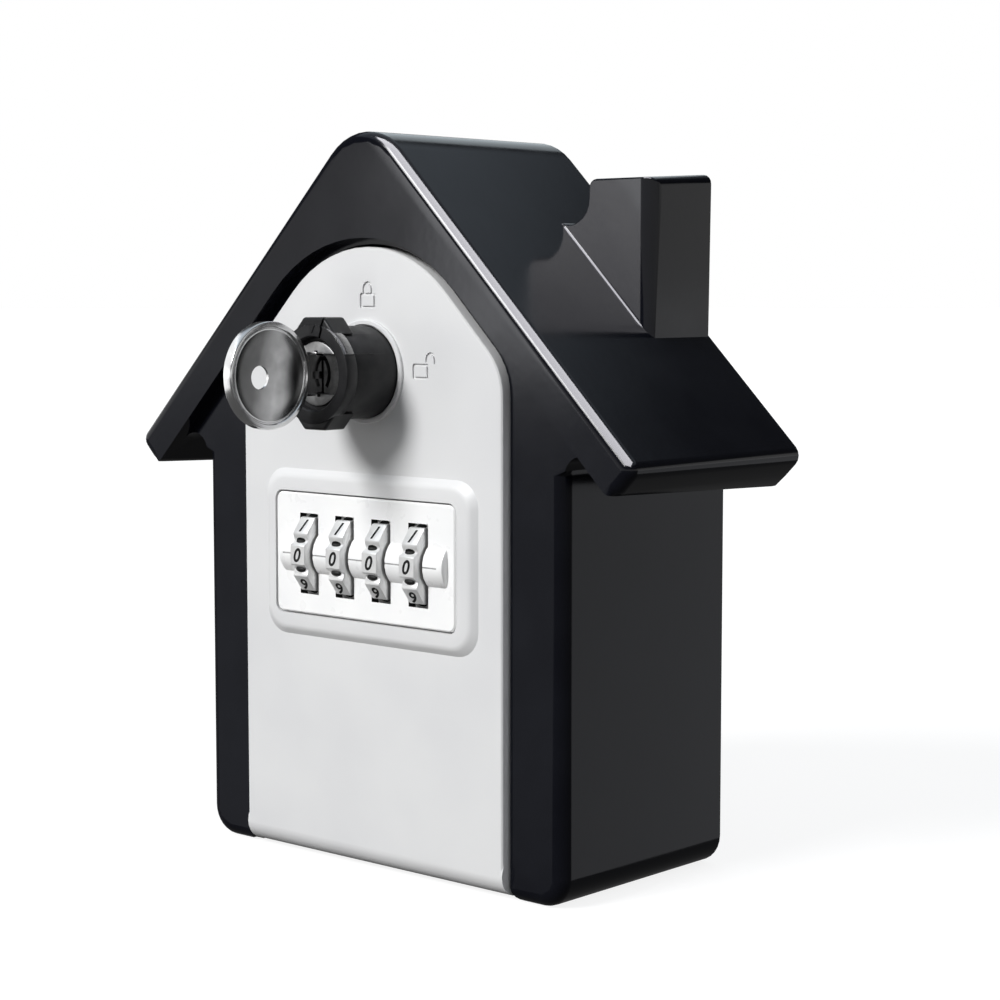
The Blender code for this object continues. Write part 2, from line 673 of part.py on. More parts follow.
def detent_spring():
    """Comb of four leaves whose tips bear on the backs of the wheels."""
    strip = box("strip", (-18 * MM, -4.4 * MM, 46.6 * MM), (18 * MM, -3.9 * MM, 50.6 * MM))
    leaf = [(-4.4, 49), (-4.4, 51), (-8.9, 61.6), (-8.1, 65), (-7.6, 65), (-8.4, 61.6),
            (-3.9, 51), (-3.9, 49)]
    outline = [(y * MM, z * MM) for y, z in leaf]
    join(strip, *[prism("leaf", outline, "YZ", x - 1.6 * MM, x + 1.6 * MM)
                  for x in wheel_places()])
    cut(strip, *[cylinder("hole", "Y", (x * MM, 48.2 * MM), 1.3 * MM, -6 * MM, -2 * MM, 12)
                 for x in (-10, 10)])
    return make_node(strip, "detent_spring", "spring_steel")


def dial_cover():
    """Tray behind the dial with side flanges, pegs for the spring and a lever slot."""
    low, high = 44.5 * MM, 85.5 * MM
    rear, wall = -2 * MM, 1.5 * MM
    tray = prism("tray", rectangle(-25.5 * MM, low, 25.5 * MM, high, 2.5 * MM), "XZ", DOOR_REAR, rear)
    bevel(tray, 0.8 * MM, 2, 50)
    join(tray, prism("flange", rectangle(-31.5 * MM, low, 31.5 * MM, high, 2.5 * MM), "XZ",
                     DOOR_REAR, DOOR_REAR + wall))
    cut(tray, prism("inside", rectangle(-24 * MM, low + wall, 24 * MM, high - wall, 1 * MM), "XZ",
                    DOOR_REAR - MM, rear - wall))
    join(tray, *[cylinder("peg", "Y", (x * MM, 48.2 * MM), 1.0 * MM, -5.5 * MM, rear - 0.5 * MM, 12)
                 for x in (-10, 10)])
    cut(tray, box("lever_slot", (-18.4 * MM, rear - 2 * wall, 76.1 * MM),
                  (-9.4 * MM, rear + wall, 78.9 * MM)))
    cut(tray, *[cylinder("hole", "Y", (x * MM, z * MM), SCREW + GAP, -18 * MM, -15 * MM, 12)
                for x, z in DIAL_SCREWS])
    return make_node(tray, "dial_cover", "black_plastic")


def dial_cover_screws():
    return [make_node(screw_solid(x * MM, z * MM, -15.2 * MM, -13.8 * MM, -21.6 * MM),
                      f"dial_cover_screw_{number}", "zinc")
            for number, (x, z) in enumerate(DIAL_SCREWS, 1)]


def code_bar():
    """Comb over the wheels: one tooth per sleeve and an arm up to the knob's stem."""
    front, rear = -20.6 * MM, -18.6 * MM
    tip = AXLE_Z + FLANGE + BAR_DROP + 0.4 * MM
    beam = 74.6 * MM
    bar = box("beam", (-14 * MM, front, beam), (20.5 * MM, rear, 77.2 * MM))
    join(bar, box("arm", (-2 * MM, front, 76 * MM), (2 * MM, rear, KNOB_Z - STEM - 1.2 * MM)))
    for x in wheel_places():
        near = x + WHEEL_WIDTH / 2 + 0.9 * MM
        join(bar, box("tooth", (near, AXLE_Y - 0.65 * MM, tip),
                      (near + 0.9 * MM, AXLE_Y + 0.65 * MM, beam + MM)))
    return make_node(bar, "code_bar", "zinc")


def code_reset_lever():
    lever = box("slide", (-21.5 * MM, -5.4 * MM, 75.2 * MM), (-11.5 * MM, -3.8 * MM, 79.8 * MM))
    handle = rectangle(-18 * MM, 76.5 * MM, -14 * MM, 78.5 * MM, 0.6 * MM)
    join(lever, prism("handle", handle, "XZ", -5 * MM, 0.6 * MM))
    return make_node(lever, "code_reset_lever", "zinc")


# ---------------------------------------------------------------- knob, plug and key

def knob():
    """Black barrel with a collar, two lugs, a hollow stem and a square drive."""
    bore = PLUG + GAP
    seat, floor = KNOB_SEAT, PLUG_FACE + 0.6 * MM
    edge = 0.3 * MM
    step = KNOB_FRONT + COLLAR_DEEP
    profile = [(COUNTERBORE, KNOB_FRONT), (COLLAR - edge, KNOB_FRONT), (COLLAR, KNOB_FRONT + edge),
               (COLLAR, step), (KNOB_RADIUS, step + edge), (KNOB_RADIUS, seat - edge),
               (KNOB_RADIUS - edge, seat), (STEM, seat), (STEM, -22.4 * MM),
               (STEM - 0.6 * MM, -22.4 * MM), (STEM - 0.6 * MM, -20.8 * MM), (STEM, -20.8 * MM),
               (STEM, STEM_END), (0, STEM_END), (0, PLUG_END + GAP), (bore, PLUG_END + GAP),
               (bore, floor), (COUNTERBORE, floor), (COUNTERBORE, KNOB_FRONT)]
    body = turned("knob", profile, 28)
    join(body, *[knob_lug(side) for side in (-1, 1)])
    join(body, prism("drive", rectangle(-4 * MM, KNOB_Z - 4 * MM, 4 * MM, KNOB_Z + 4 * MM, 0.6 * MM),
                     "XZ", STEM_END - 0.5 * MM, -11.5 * MM))
    cut(body, cylinder("screw_hole", "Y", (0, KNOB_Z), 1.8 * MM, -15.4 * MM, -11 * MM, 10))
    return make_node(body, "knob", "black_plastic")


def knob_lug(side):
    """Lug above (side 1) or below (side -1) the plug, with a ramp down to the barrel."""
    front, base = KNOB_FRONT + 0.4 * MM, 8.2 * MM
    section = [(front, base), (front, LUG_TOP), (front + 5 * MM, LUG_TOP),
               (front + 7.6 * MM, 8.7 * MM), (front + 7.6 * MM, base)]
    outline = [(y, KNOB_Z + side * z) for y, z in section]
    return bevel(prism("lug", outline, "YZ", -2.9 * MM, 2.9 * MM), 0.4 * MM, 1, 30)


def knob_clip():
    """Open ring that sits in the stem's groove behind the door skin."""
    outer, inner = 9.8 * MM, STEM - 0.3 * MM
    mouth = radians(40)
    ring = arc(0, KNOB_Z, outer, -pi / 2 + mouth, 3 * pi / 2 - mouth)
    ring += [(u, v) for u, v in reversed(arc(0, KNOB_Z, inner, -pi / 2 + mouth, 3 * pi / 2 - mouth))]
    clip = prism("clip", ring, "XZ", -22.1 * MM, -21.1 * MM)
    return make_node(clip, "knob_clip", "spring_steel")


def lock_cam():
    """Plate on the knob's square drive whose tongue points up when locked."""
    tongue = 4.5 * MM
    hub = 8 * MM
    bend = sqrt(hub ** 2 - tongue ** 2)
    start = acos(tongue / hub)
    outline = arc(0, KNOB_Z, hub, pi - start, 2 * pi + start)
    tip = KNOB_Z + CAM_REACH
    outline += corner_arc((tongue, KNOB_Z + bend), (tongue, tip), (-tongue, tip), 1.5 * MM)
    outline += corner_arc((tongue, tip), (-tongue, tip), (-tongue, KNOB_Z + bend), 1.5 * MM)
    cam = prism("cam", outline, "XZ", *CAM_Y)
    hole = 4.3 * MM
    cut(cam, prism("drive_hole", rectangle(-hole, KNOB_Z - hole, hole, KNOB_Z + hole, 0.6 * MM),
                   "XZ", CAM_Y[0] - MM, CAM_Y[1] + MM))
    return make_node(cam, "lock_cam", "zinc")


def cam_washer():
    washer = cylinder("washer", "Y", (0, KNOB_Z), 7 * MM, -10.9 * MM, -9.9 * MM, 20)
    cut(washer, cylinder("hole", "Y", (0, KNOB_Z), 1.8 * MM, -12 * MM, -9 * MM, 10))
    return make_node(washer, "cam_washer", "zinc")


def cam_screw():
    head = screw_solid(0, KNOB_Z, -9.6 * MM, -8 * MM, -15 * MM, 3.4 * MM)
    return make_node(head, "cam_screw", "zinc")


def key_plug():
    """Metal cylinder with a keyway, four wafer slots and a recessed band on its face."""
    plug = cylinder("plug", "Y", (0, KNOB_Z), PLUG, PLUG_FACE, PLUG_END, 24)
    bevel(plug, 0.3 * MM, 1)
    keyway, height = BLADE_THICK / 2 + GAP, BLADE_HALF + GAP
    band = 3.9 * MM
    cut(plug, box("band", (-9 * MM, PLUG_FACE - MM, KNOB_Z - band),
                  (9 * MM, PLUG_FACE + 0.8 * MM, KNOB_Z + band)))
    cut(plug, box("keyway", (-keyway, PLUG_FACE - MM, KNOB_Z - height),
                  (keyway, -18 * MM, KNOB_Z + height)))
    cut(plug, *[box("wafer_slot", (-2.3 * MM, y - 0.9 * MM, KNOB_Z - 9 * MM),
                    (2.3 * MM, y + 0.9 * MM, KNOB_Z + 9 * MM)) for y in wafer_places()])
    return make_node(plug, "key_plug", "zinc")


def wafer_places():
    return [(-33.5 + 3.2 * i) * MM for i in range(4)]


def wafer_tumblers():
    wafers = []
    for number, y in enumerate(wafer_places(), 1):
        wafer = box("wafer", (-2 * MM, y - 0.6 * MM, KNOB_Z - 5.3 * MM),
                    (2 * MM, y + 0.6 * MM, KNOB_Z + 5.3 * MM))
        cut(wafer, box("window", (-1.25 * MM, y - MM, KNOB_Z - 3.85 * MM),
                       (1.25 * MM, y + MM, KNOB_Z + 3.85 * MM)))
        wafers.append(make_node(wafer, f"wafer_tumbler_{number}", "brass"))
    return wafers


def key():
    """Round dished head with a ring hole and a flat blade with its cuts along the top."""
    half = BLADE_THICK / 2
    head = cylinder("key", "X", (KEY_HEAD_Y, KNOB_Z), KEY_HEAD, -1.1 * MM, 1.1 * MM, 28)
    bevel(head, 0.4 * MM, 1)
    low, high = KNOB_Z - BLADE_HALF, KNOB_Z + BLADE_HALF
    blade = [(-44 * MM, low), (-18.9 * MM, low), (-18.3 * MM, low + 2.6 * MM),
             (-18.3 * MM, low + 4.2 * MM)]
    for centre, depth in ((-21.5, 1.6), (-24.5, 2.6), (-27.5, 1.2), (-30.5, 2.2), (-33.5, 1.0)):
        blade += [((centre + 1.3) * MM, high - 0.3 * MM), ((centre + 0.5) * MM, high - depth * MM),
                  ((centre - 0.5) * MM, high - depth * MM), ((centre - 1.3) * MM, high - 0.3 * MM)]
    blade += [(-36 * MM, high), (-44 * MM, high)]
    join(head, prism("blade", blade, "YZ", -half, half))
    join(head, prism("shoulder", rectangle(-45 * MM, low - 0.7 * MM, -38.6 * MM, high + 0.7 * MM,
                                           0.6 * MM), "YZ", -half, half))
    for side in (-1, 1):
        near, far = sorted((side * 0.7 * MM, side * 2 * MM))
        cut(head, cylinder("dish", "X", (KEY_HEAD_Y, KNOB_Z), KEY_HEAD - 1.1 * MM, near, far, 28))
    cut(head, cylinder("ring_hole", "X", (KEY_HEAD_Y - 2.2 * MM, KNOB_Z - 0.3 * MM), 2.2 * MM,
                       -3 * MM, 3 * MM, 14))
    return make_node(head, "key", "nickel")


# ---------------------------------------------------------------- assembly

def axis_empty(name, place, followers):
    """Empty on a joint's axis that carries the pieces of one moving body."""
    empty = bpy.data.objects.new(name, None)
    empty.location = place
    empty.empty_display_size = 5 * MM
    PARTS.objects.link(empty)
    for piece in followers:
        piece.parent = empty
        piece.matrix_parent_inverse = Matrix.Translation(place).inverted()
    return empty


def build_case():
    house_shell()
    rear_cover()
    rear_cover_screws()
    key_hook_rail()
    strike_plate()
    strike_screws()
    hinge_pin()


def build_door():
    pieces = [door_panel(), dial_plate(), dial_axle(), detent_spring(), dial_cover(),
              *dial_cover_screws()]
    return axis_empty("door_axis", (0, HINGE_Y, HINGE_Z), pieces)


def build_dial(door_axis):
    for number, x in enumerate(wheel_places(), 1):
        pieces = [digit_wheel(number, x), code_sleeve(number, x)]
        wheel_axis = axis_empty(f"wheel_{number}_axis", (x, AXLE_Y, AXLE_Z), pieces)
        wheel_axis.parent = door_axis
        wheel_axis.matrix_parent_inverse = Matrix.Translation(door_axis.location).inverted()
    for piece in (code_bar(), code_reset_lever()):
        piece.parent = door_axis
        piece.matrix_parent_inverse = Matrix.Translation(door_axis.location).inverted()


def build_knob(door_axis):
    turning = [knob(), knob_clip(), lock_cam(), cam_washer(), cam_screw()]
    knob_axis = axis_empty("knob_axis", (0, KNOB_FRONT, KNOB_Z), turning)
    plug_axis = axis_empty("plug_axis", (0, KNOB_FRONT, KNOB_Z),
                           [key_plug(), *wafer_tumblers(), key()])
    for axis, owner in ((knob_axis, door_axis), (plug_axis, knob_axis)):
        axis.parent = owner
        axis.matrix_parent_inverse = Matrix.Translation(owner.location).inverted()


clear_scene()
PARTS = make_collection("key_lock_box")
TOOLS = make_collection("cutters")
MATERIALS = {
    "black_paint": make_material("black_paint", (0.012, 0.012, 0.014), 0.28, 0.0),
    "grey_paint": make_material("grey_paint", (0.70, 0.70, 0.70), 0.38, 0.1),
    "white_plastic": make_material("white_plastic", (0.86, 0.86, 0.86), 0.35, 0.0),
    "black_plastic": make_material("black_plastic", (0.02, 0.02, 0.02), 0.45, 0.0),
    "chrome": make_material("chrome", (0.75, 0.75, 0.76), 0.15, 1.0),
    "nickel": make_material("nickel", (0.42, 0.42, 0.42), 0.3, 1.0),
    "zinc": make_material("zinc", (0.6, 0.6, 0.6), 0.4, 1.0),
    "brass": make_material("brass", (0.78, 0.6, 0.3), 0.35, 1.0),
    "spring_steel": make_material("spring_steel", (0.5, 0.5, 0.52), 0.3, 1.0),
}
build_case()
DOOR_AXIS = build_door()
build_dial(DOOR_AXIS)
build_knob(DOOR_AXIS)
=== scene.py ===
"""Looks of the house-shaped key lock box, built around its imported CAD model.

Metres, in the model's own frame: +X to the right, -Y to the front, +Z up.  Each visible
piece is either a CAD node with a procedural material, a smoothed copy of one, or a
finer piece that stands for it.
"""
import json
from math import cos, hypot, pi, radians, sin, tau

import bmesh
import bpy
from mathutils import Euler, Matrix, Vector

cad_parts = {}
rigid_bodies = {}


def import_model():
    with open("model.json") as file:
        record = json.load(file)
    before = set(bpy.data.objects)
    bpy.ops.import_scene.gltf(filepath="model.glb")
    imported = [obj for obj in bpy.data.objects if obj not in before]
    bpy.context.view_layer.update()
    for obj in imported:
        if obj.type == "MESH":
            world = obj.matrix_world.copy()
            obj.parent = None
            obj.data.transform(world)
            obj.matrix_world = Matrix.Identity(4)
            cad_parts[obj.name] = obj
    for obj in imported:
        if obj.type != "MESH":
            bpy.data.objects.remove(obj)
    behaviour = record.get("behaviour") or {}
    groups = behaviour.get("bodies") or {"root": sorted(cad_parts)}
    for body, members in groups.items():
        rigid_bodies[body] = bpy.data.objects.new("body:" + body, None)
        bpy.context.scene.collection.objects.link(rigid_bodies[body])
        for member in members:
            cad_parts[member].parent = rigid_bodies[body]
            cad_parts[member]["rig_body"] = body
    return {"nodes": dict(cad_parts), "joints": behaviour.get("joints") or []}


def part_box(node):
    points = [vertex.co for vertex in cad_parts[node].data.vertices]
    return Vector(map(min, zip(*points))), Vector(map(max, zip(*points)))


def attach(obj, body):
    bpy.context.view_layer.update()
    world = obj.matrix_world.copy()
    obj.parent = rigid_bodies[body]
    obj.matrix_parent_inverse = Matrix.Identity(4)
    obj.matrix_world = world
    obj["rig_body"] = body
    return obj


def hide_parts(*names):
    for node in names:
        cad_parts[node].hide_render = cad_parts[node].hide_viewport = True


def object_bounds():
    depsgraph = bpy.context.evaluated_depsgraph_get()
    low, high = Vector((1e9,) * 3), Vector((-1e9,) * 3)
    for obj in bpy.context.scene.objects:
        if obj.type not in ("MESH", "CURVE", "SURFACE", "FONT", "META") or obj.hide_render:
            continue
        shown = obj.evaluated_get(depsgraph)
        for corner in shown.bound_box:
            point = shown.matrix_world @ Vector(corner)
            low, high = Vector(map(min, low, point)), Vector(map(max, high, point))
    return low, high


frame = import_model()
CAD_LOW, CAD_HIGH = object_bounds()

MM = 0.001
NODES = frame["nodes"]
AXES = {joint["name"]: Vector(joint.get("pos_m", (0, 0, 0))) for joint in frame["joints"]}
SCREWS = [name for name in NODES if "_screw_" in name]
WAFERS = [name for name in NODES if name.startswith("wafer_")]
SLEEVES = [name for name in NODES if name.startswith("code_sleeve_")]
WHEELS = sorted(name for name in NODES if name.startswith("digit_wheel_"))

# Camera
CAMERA_PLACE = (0.3159, -0.3416, 0.1154)
CAMERA_AZIMUTH = radians(41.58)
CAMERA_PITCH = radians(5.30)
CAMERA_LENS = 82.62

# Code dial
DIGITS = 10
DIGIT_PITCH = tau / DIGITS
WHEEL_AXIS = AXES["wheel_1_turn"]
WHEEL_RADIUS = 10 * MM
PAD_HALF = radians(10.5)
PAD_DISTANCE = WHEEL_RADIUS * cos(PAD_HALF)
WHEEL_PITCH = 10 * MM
SLOT_HALF = 2.7 * MM         # of a wheel's slot in the dial plate, to just past its walls
GROOVE = 0.85 * MM           # depth of the rim between two pads
GROOVE_STEPS = 8
BORE = 5.4 * MM
DIGIT_SIZE = 3.9 * MM
ENGRAVING = 0.16 * MM

# Knob and plug
KNOB_AXIS = AXES["knob_turn"]
KNOB_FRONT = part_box("knob")[0].y
PLUG_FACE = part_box("key_plug")[0].y
KNOB_RADIUS = 9.0 * MM
KNOB_SEAT = -25.05 * MM      # rear end of the barrel, in front of the door
COLLAR = 9.5 * MM
COLLAR_STEP = KNOB_FRONT + 2.9 * MM
COUNTERBORE = 7.0 * MM
LUG_TOP = 10.7 * MM
MOULD_HEIGHT = 3.75 * MM     # of the mould line above the knob's axis
STEM = 7.6 * MM
STEM_END = -13.4 * MM
PLUG = 6.15 * MM
PLUG_BORE = 6.3 * MM
PLUG_END = -16.6 * MM
BAND = 3.9 * MM              # half height of the plug's dark band
BAND_FLOOR = PLUG_FACE + 0.75 * MM
GAP = 0.3 * MM               # around the plug and the blade

# Key
HEAD_RADIUS = 10.1 * MM
HEAD_HALF = 1.1 * MM
RIM = 1.0 * MM
BLADE_HALF = 3.5 * MM
BLADE_THICK = 1.8 * MM
NECK_FRONT = -42 * MM
NECK_REAR = -38.6 * MM
BLADE_TIP = -18.3 * MM
KEY_CUTS = ((-21.5, 1.6), (-24.5, 2.6), (-27.5, 1.2), (-30.5, 2.2), (-33.5, 1.0))  # y, depth
DISH_LEAN = 0.23             # run per rise of the dish's bands of painted reflection
# place across the dish and grey value of its painted reflection, dark at the sides and light down
# the middle
DISH_PAINTED_REFLECTION = ((0.06, 0.10), (0.34, 0.17), (0.60, 0.58), (0.72, 0.56), (0.84, 0.10), (0.96, 0.12))

# Chimney
ROOF_APEX = 150.7 * MM       # where the planes of the two slopes meet
CHIMNEY_FRONT = 7 * MM
CHIMNEY_RIGHT = 45 * MM
CHIMNEY_CORNER = 3.1 * MM
COVE_TIP = 23.6 * MM

# Studio
PANEL_DISTANCE = 1.2
PANEL_TARGET = Vector((0, 0, 0.09))
FLOOR_RADIUS = 12
WORLD_BANDS = (              # sine of the elevation, grey value and blueness
    (-0.60, 0.10, 0.0), (-0.06, 0.14, 0.0), (-0.015, 1.0, 0.0), (0.14, 1.0, 0.0),
    (0.20, 0.06, 0.02), (0.61, 0.04, 0.02), (0.69, 0.80, 0.22), (1.0, 0.55, 0.08),
)

# Shading
COLOUR_STOPS = (0.35, 0.65)  # noise values between which a finish's two colours blend
SHARP_EDGE = 24              # degrees above which a copied node's edges stay sharp
FLAT_SPREAD = cos(radians(40))  # faces nearer in direction than this share their normals


# ---------------------------------------------------------------- node trees

def fill_ramp(ramp, stops):
    """Give a colour ramp the (place, colour) stops."""
    elements = ramp.color_ramp.elements
    while len(elements) < len(stops):
        elements.new(0.5)
    for element, (place, colour) in zip(elements, stops):
        element.position = place
        element.color = (*colour, 1)


class Finish:
    """Procedural material on a Principled shader, patterned in millimetres."""

    def __init__(self, name, roughness, metallic=0.0, specular=0.5):
        self.material = bpy.data.materials.new(name)
        self.material.use_nodes = True
        self.nodes = self.material.node_tree.nodes
        self.shader = self.nodes["Principled BSDF"]
        self.shader.inputs["Roughness"].default_value = roughness
        self.shader.inputs["Metallic"].default_value = metallic
        self.shader.inputs["Specular IOR Level"].default_value = specular
        self.place = self.add("ShaderNodeTexCoord").outputs["Object"]

    def add(self, kind, **settings):
        node = self.nodes.new(kind)
        for key, value in settings.items():
            setattr(node, key, value)
        return node

    def feed(self, socket, source):
        self.material.node_tree.links.new(source, socket)

    def noise(self, size, detail=2.0, stretch=(1, 1, 1)):
        """Noise whose blotches are about size across; stretch lengthens them along an axis."""
        mapping = self.add("ShaderNodeMapping")
        mapping.inputs["Scale"].default_value = [1 / (size * s) for s in stretch]
        self.feed(mapping.inputs["Vector"], self.place)
        texture = self.add("ShaderNodeTexNoise")
        texture.inputs["Scale"].default_value = 1.0
        texture.inputs["Detail"].default_value = detail
        self.feed(texture.inputs["Vector"], mapping.outputs["Vector"])
        return texture.outputs["Fac"]

    def colours(self, factor, first, second):
        self.ramp(factor, list(zip(COLOUR_STOPS, (first, second))))

    def ramp(self, factor, stops):
        """Base colour that runs through the stops as the factor rises."""
        ramp = self.add("ShaderNodeValToRGB")
        fill_ramp(ramp, stops)
        self.feed(ramp.inputs["Fac"], factor)
        self.feed(self.shader.inputs["Base Color"], ramp.outputs["Color"])

    def roughness(self, factor, low, high):
        spread = self.add("ShaderNodeMapRange")
        spread.inputs["From Min"].default_value = 0.3
        spread.inputs["From Max"].default_value = 0.7
        spread.inputs["To Min"].default_value = low
        spread.inputs["To Max"].default_value = high
        self.feed(spread.inputs["Value"], factor)
        self.feed(self.shader.inputs["Roughness"], spread.outputs["Result"])

    def bump(self, factor, depth):
        relief = self.add("ShaderNodeBump")
        relief.inputs["Distance"].default_value = depth
        relief.inputs["Strength"].default_value = 1.0
        self.feed(relief.inputs["Height"], factor)
        self.feed(self.shader.inputs["Normal"], relief.outputs["Normal"])


def black_enamel():
    finish = Finish("black_enamel", 0.13, specular=0.20)
    finish.colours(finish.noise(9 * MM), (0.0030, 0.0033, 0.0056), (0.0042, 0.0046, 0.0072))
    finish.roughness(finish.noise(14 * MM, 3.0), 0.11, 0.16)
    finish.bump(finish.noise(1.6 * MM, 1.0), 0.004 * MM)
    return finish.material


def door_enamel():
    finish = Finish("door_enamel", 0.4, specular=0.45)
    finish.colours(finish.noise(22 * MM), (0.655, 0.655, 0.66), (0.69, 0.69, 0.69))
    finish.roughness(finish.noise(6 * MM, 3.0), 0.36, 0.46)
    finish.bump(finish.noise(0.5 * MM, 2.0), 0.004 * MM)
    return finish.material


def dial_plastic():
    finish = Finish("dial_plastic", 0.3, specular=0.5)
    finish.colours(finish.noise(12 * MM), (0.86, 0.86, 0.86), (0.90, 0.90, 0.89))
    finish.roughness(finish.noise(4 * MM), 0.26, 0.36)
    finish.bump(finish.noise(1.2 * MM), 0.002 * MM)
    finish.shader.inputs["Subsurface Weight"].default_value = 0.05
    finish.shader.inputs["Subsurface Radius"].default_value = (1 * MM, 1 * MM, 1 * MM)
    return finish.material


def knob_plastic(name, roughness, specular):
    """Moulded plastic; the mould's halves and the collar's land differ in polish."""
    finish = Finish(name, roughness, specular=specular)
    finish.colours(finish.noise(3 * MM), (0.008, 0.008, 0.009), (0.014, 0.014, 0.015))
    finish.roughness(finish.noise(2.5 * MM, 4.0), roughness - 0.05, roughness + 0.08)
    finish.bump(finish.noise(0.22 * MM, 2.0), 0.010 * MM)
    return finish.material


def cover_plastic():
    finish = Finish("cover_plastic", 0.5, specular=0.4)
    finish.colours(finish.noise(7 * MM), (0.016, 0.016, 0.017), (0.024, 0.024, 0.025))
    finish.roughness(finish.noise(5 * MM, 3.0), 0.46, 0.58)
    finish.bump(finish.noise(0.3 * MM, 2.0), 0.012 * MM)
    return finish.material


def wheel_chrome():
    finish = Finish("wheel_chrome", 0.34, metallic=0.45)
    finish.colours(finish.noise(2 * MM), (0.80, 0.80, 0.80), (0.87, 0.87, 0.86))
    finish.roughness(finish.noise(1.1 * MM, 3.0), 0.28, 0.40)
    finish.bump(finish.noise(0.9 * MM), 0.004 * MM)
    return finish.material


# Black ink of the digits, also used as painted shade inside the wheels' pits and on the slots'
# walls.
def digit_ink():
    finish = Finish("digit_ink", 0.55, specular=0.3)
    finish.colours(finish.noise(0.4 * MM), (0.006, 0.006, 0.006), (0.014, 0.014, 0.014))
    return finish.material


def index_ink():
    finish = Finish("index_ink", 0.5, specular=0.3)
    finish.colours(finish.noise(0.6 * MM), (0.33, 0.33, 0.33), (0.42, 0.42, 0.42))
    return finish.material


def key_nickel():
    finish = Finish("key_nickel", 0.18, metallic=1.0)
    finish.colours(finish.noise(3 * MM, 2.0), (0.66, 0.66, 0.665), (0.72, 0.72, 0.72))
    finish.roughness(finish.noise(2.5 * MM, 3.0), 0.16, 0.23)
    finish.bump(finish.noise(0.9 * MM, 2.0), 0.0015 * MM)
    return finish.material


def key_dish():
    """Nickel of the head's dish with a painted reflection: a lighter band runs down its middle
    between darker sides.
    """
    finish = Finish("key_dish", 0.2, metallic=1.0)
    split = finish.add("ShaderNodeSeparateXYZ")
    finish.feed(split.inputs["Vector"], finish.place)
    lean = finish.add("ShaderNodeMath", operation="MULTIPLY_ADD")
    lean.inputs[1].default_value = -DISH_LEAN
    finish.feed(lean.inputs[0], split.outputs["Z"])
    finish.feed(lean.inputs[2], split.outputs["Y"])
    spread = finish.add("ShaderNodeMapRange")
    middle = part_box("key")[0].y + HEAD_RADIUS - DISH_LEAN * KNOB_AXIS.z
    spread.inputs["From Min"].default_value = middle - HEAD_RADIUS
    spread.inputs["From Max"].default_value = middle + HEAD_RADIUS
    finish.feed(spread.inputs["Value"], lean.outputs["Value"])
    finish.ramp(spread.outputs["Result"], [(place, [value] * 3) for place, value in DISH_PAINTED_REFLECTION])
    finish.roughness(finish.noise(2.5 * MM, 3.0), 0.18, 0.26)
    finish.bump(finish.noise(0.9 * MM, 2.0), 0.0015 * MM)
    return finish.material


def plug_metal():
    finish = Finish("plug_metal", 0.4, metallic=1.0)
    finish.colours(finish.noise(1.2 * MM, 2.0), (0.36, 0.36, 0.36), (0.46, 0.46, 0.46))
    finish.roughness(finish.noise(0.9 * MM, 2.0), 0.34, 0.48)
    finish.bump(finish.noise(0.8 * MM, 2.0), 0.004 * MM)
    return finish.material


def band_metal():
    """Dark metal on the floor of the plug's band, and painted shade inside its keyway and slots."""
    finish = Finish("band_metal", 0.5, metallic=1.0)
    finish.colours(finish.noise(1.6 * MM, 2.0), (0.09, 0.09, 0.09), (0.16, 0.16, 0.16))
    finish.roughness(finish.noise(0.9 * MM, 2.0), 0.4, 0.55)
    finish.bump(finish.noise(0.9 * MM, 2.0), 0.006 * MM)
    return finish.material


def zinc_plate():
    finish = Finish("zinc_plate", 0.35, metallic=1.0)
    finish.colours(finish.noise(3 * MM, 3.0), (0.52, 0.53, 0.55), (0.66, 0.67, 0.68))
    finish.roughness(finish.noise(2 * MM, 3.0), 0.28, 0.42)
    finish.bump(finish.noise(0.5 * MM, 2.0, (6, 1, 1)), 0.004 * MM)
    return finish.material


def turned_brass():
    finish = Finish("turned_brass", 0.3, metallic=1.0)
    finish.colours(finish.noise(2 * MM, 3.0), (0.70, 0.50, 0.22), (0.80, 0.62, 0.32))
    finish.roughness(finish.noise(0.6 * MM, 3.0), 0.24, 0.36)
    finish.bump(finish.noise(0.3 * MM, 2.0, (0.3, 4, 4)), 0.003 * MM)
    return finish.material


def spring_steel():
    finish = Finish("spring_steel", 0.3, metallic=1.0)
    finish.colours(finish.noise(2 * MM, 3.0), (0.34, 0.36, 0.40), (0.48, 0.49, 0.51))
    finish.roughness(finish.noise(1 * MM, 3.0), 0.24, 0.36)
    finish.bump(finish.noise(0.4 * MM, 2.0, (1, 1, 6)), 0.003 * MM)
    return finish.material


def studio_paper():
    finish = Finish("studio_paper", 0.9, specular=0.1)
    finish.colours(finish.noise(60 * MM), (0.20, 0.20, 0.20), (0.21, 0.21, 0.21))
    finish.shader.inputs["Emission Color"].default_value = (1, 1, 1, 1)
    finish.shader.inputs["Emission Strength"].default_value = 0.86
    return finish.material


# ---------------------------------------------------------------- mesh tools

def new_object(name, mesh):
    obj = bpy.data.objects.new(name, mesh)
    bpy.context.scene.collection.objects.link(obj)
    return obj


def object_from_bmesh(name, bm):
    mesh = bpy.data.meshes.new(name)
    bm.to_mesh(mesh)
    bm.free()
    return new_object(name, mesh)


def finished_mesh(obj):
    """Mesh of the object with its modifiers applied, in the object's own space."""
    graph = bpy.context.evaluated_depsgraph_get()
    return bpy.data.meshes.new_from_object(obj.evaluated_get(graph))


def smooth(obj, angle):
    """Shade smoothly except over edges sharper than the angle in degrees."""
    obj.data.shade_smooth()
    obj.data.set_sharp_from_angle(angle=radians(angle))
    return obj


def paint(obj, *materials):
    obj.data.materials.clear()
    for material in materials:
        obj.data.materials.append(material)
    return obj


def finish_piece(obj, body, slot, *nodes):
    """Make the object ride on a body and hide the CAD nodes it stands for; the slot is not used."""
    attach(obj, body)
    if nodes:
        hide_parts(*nodes)
    return obj


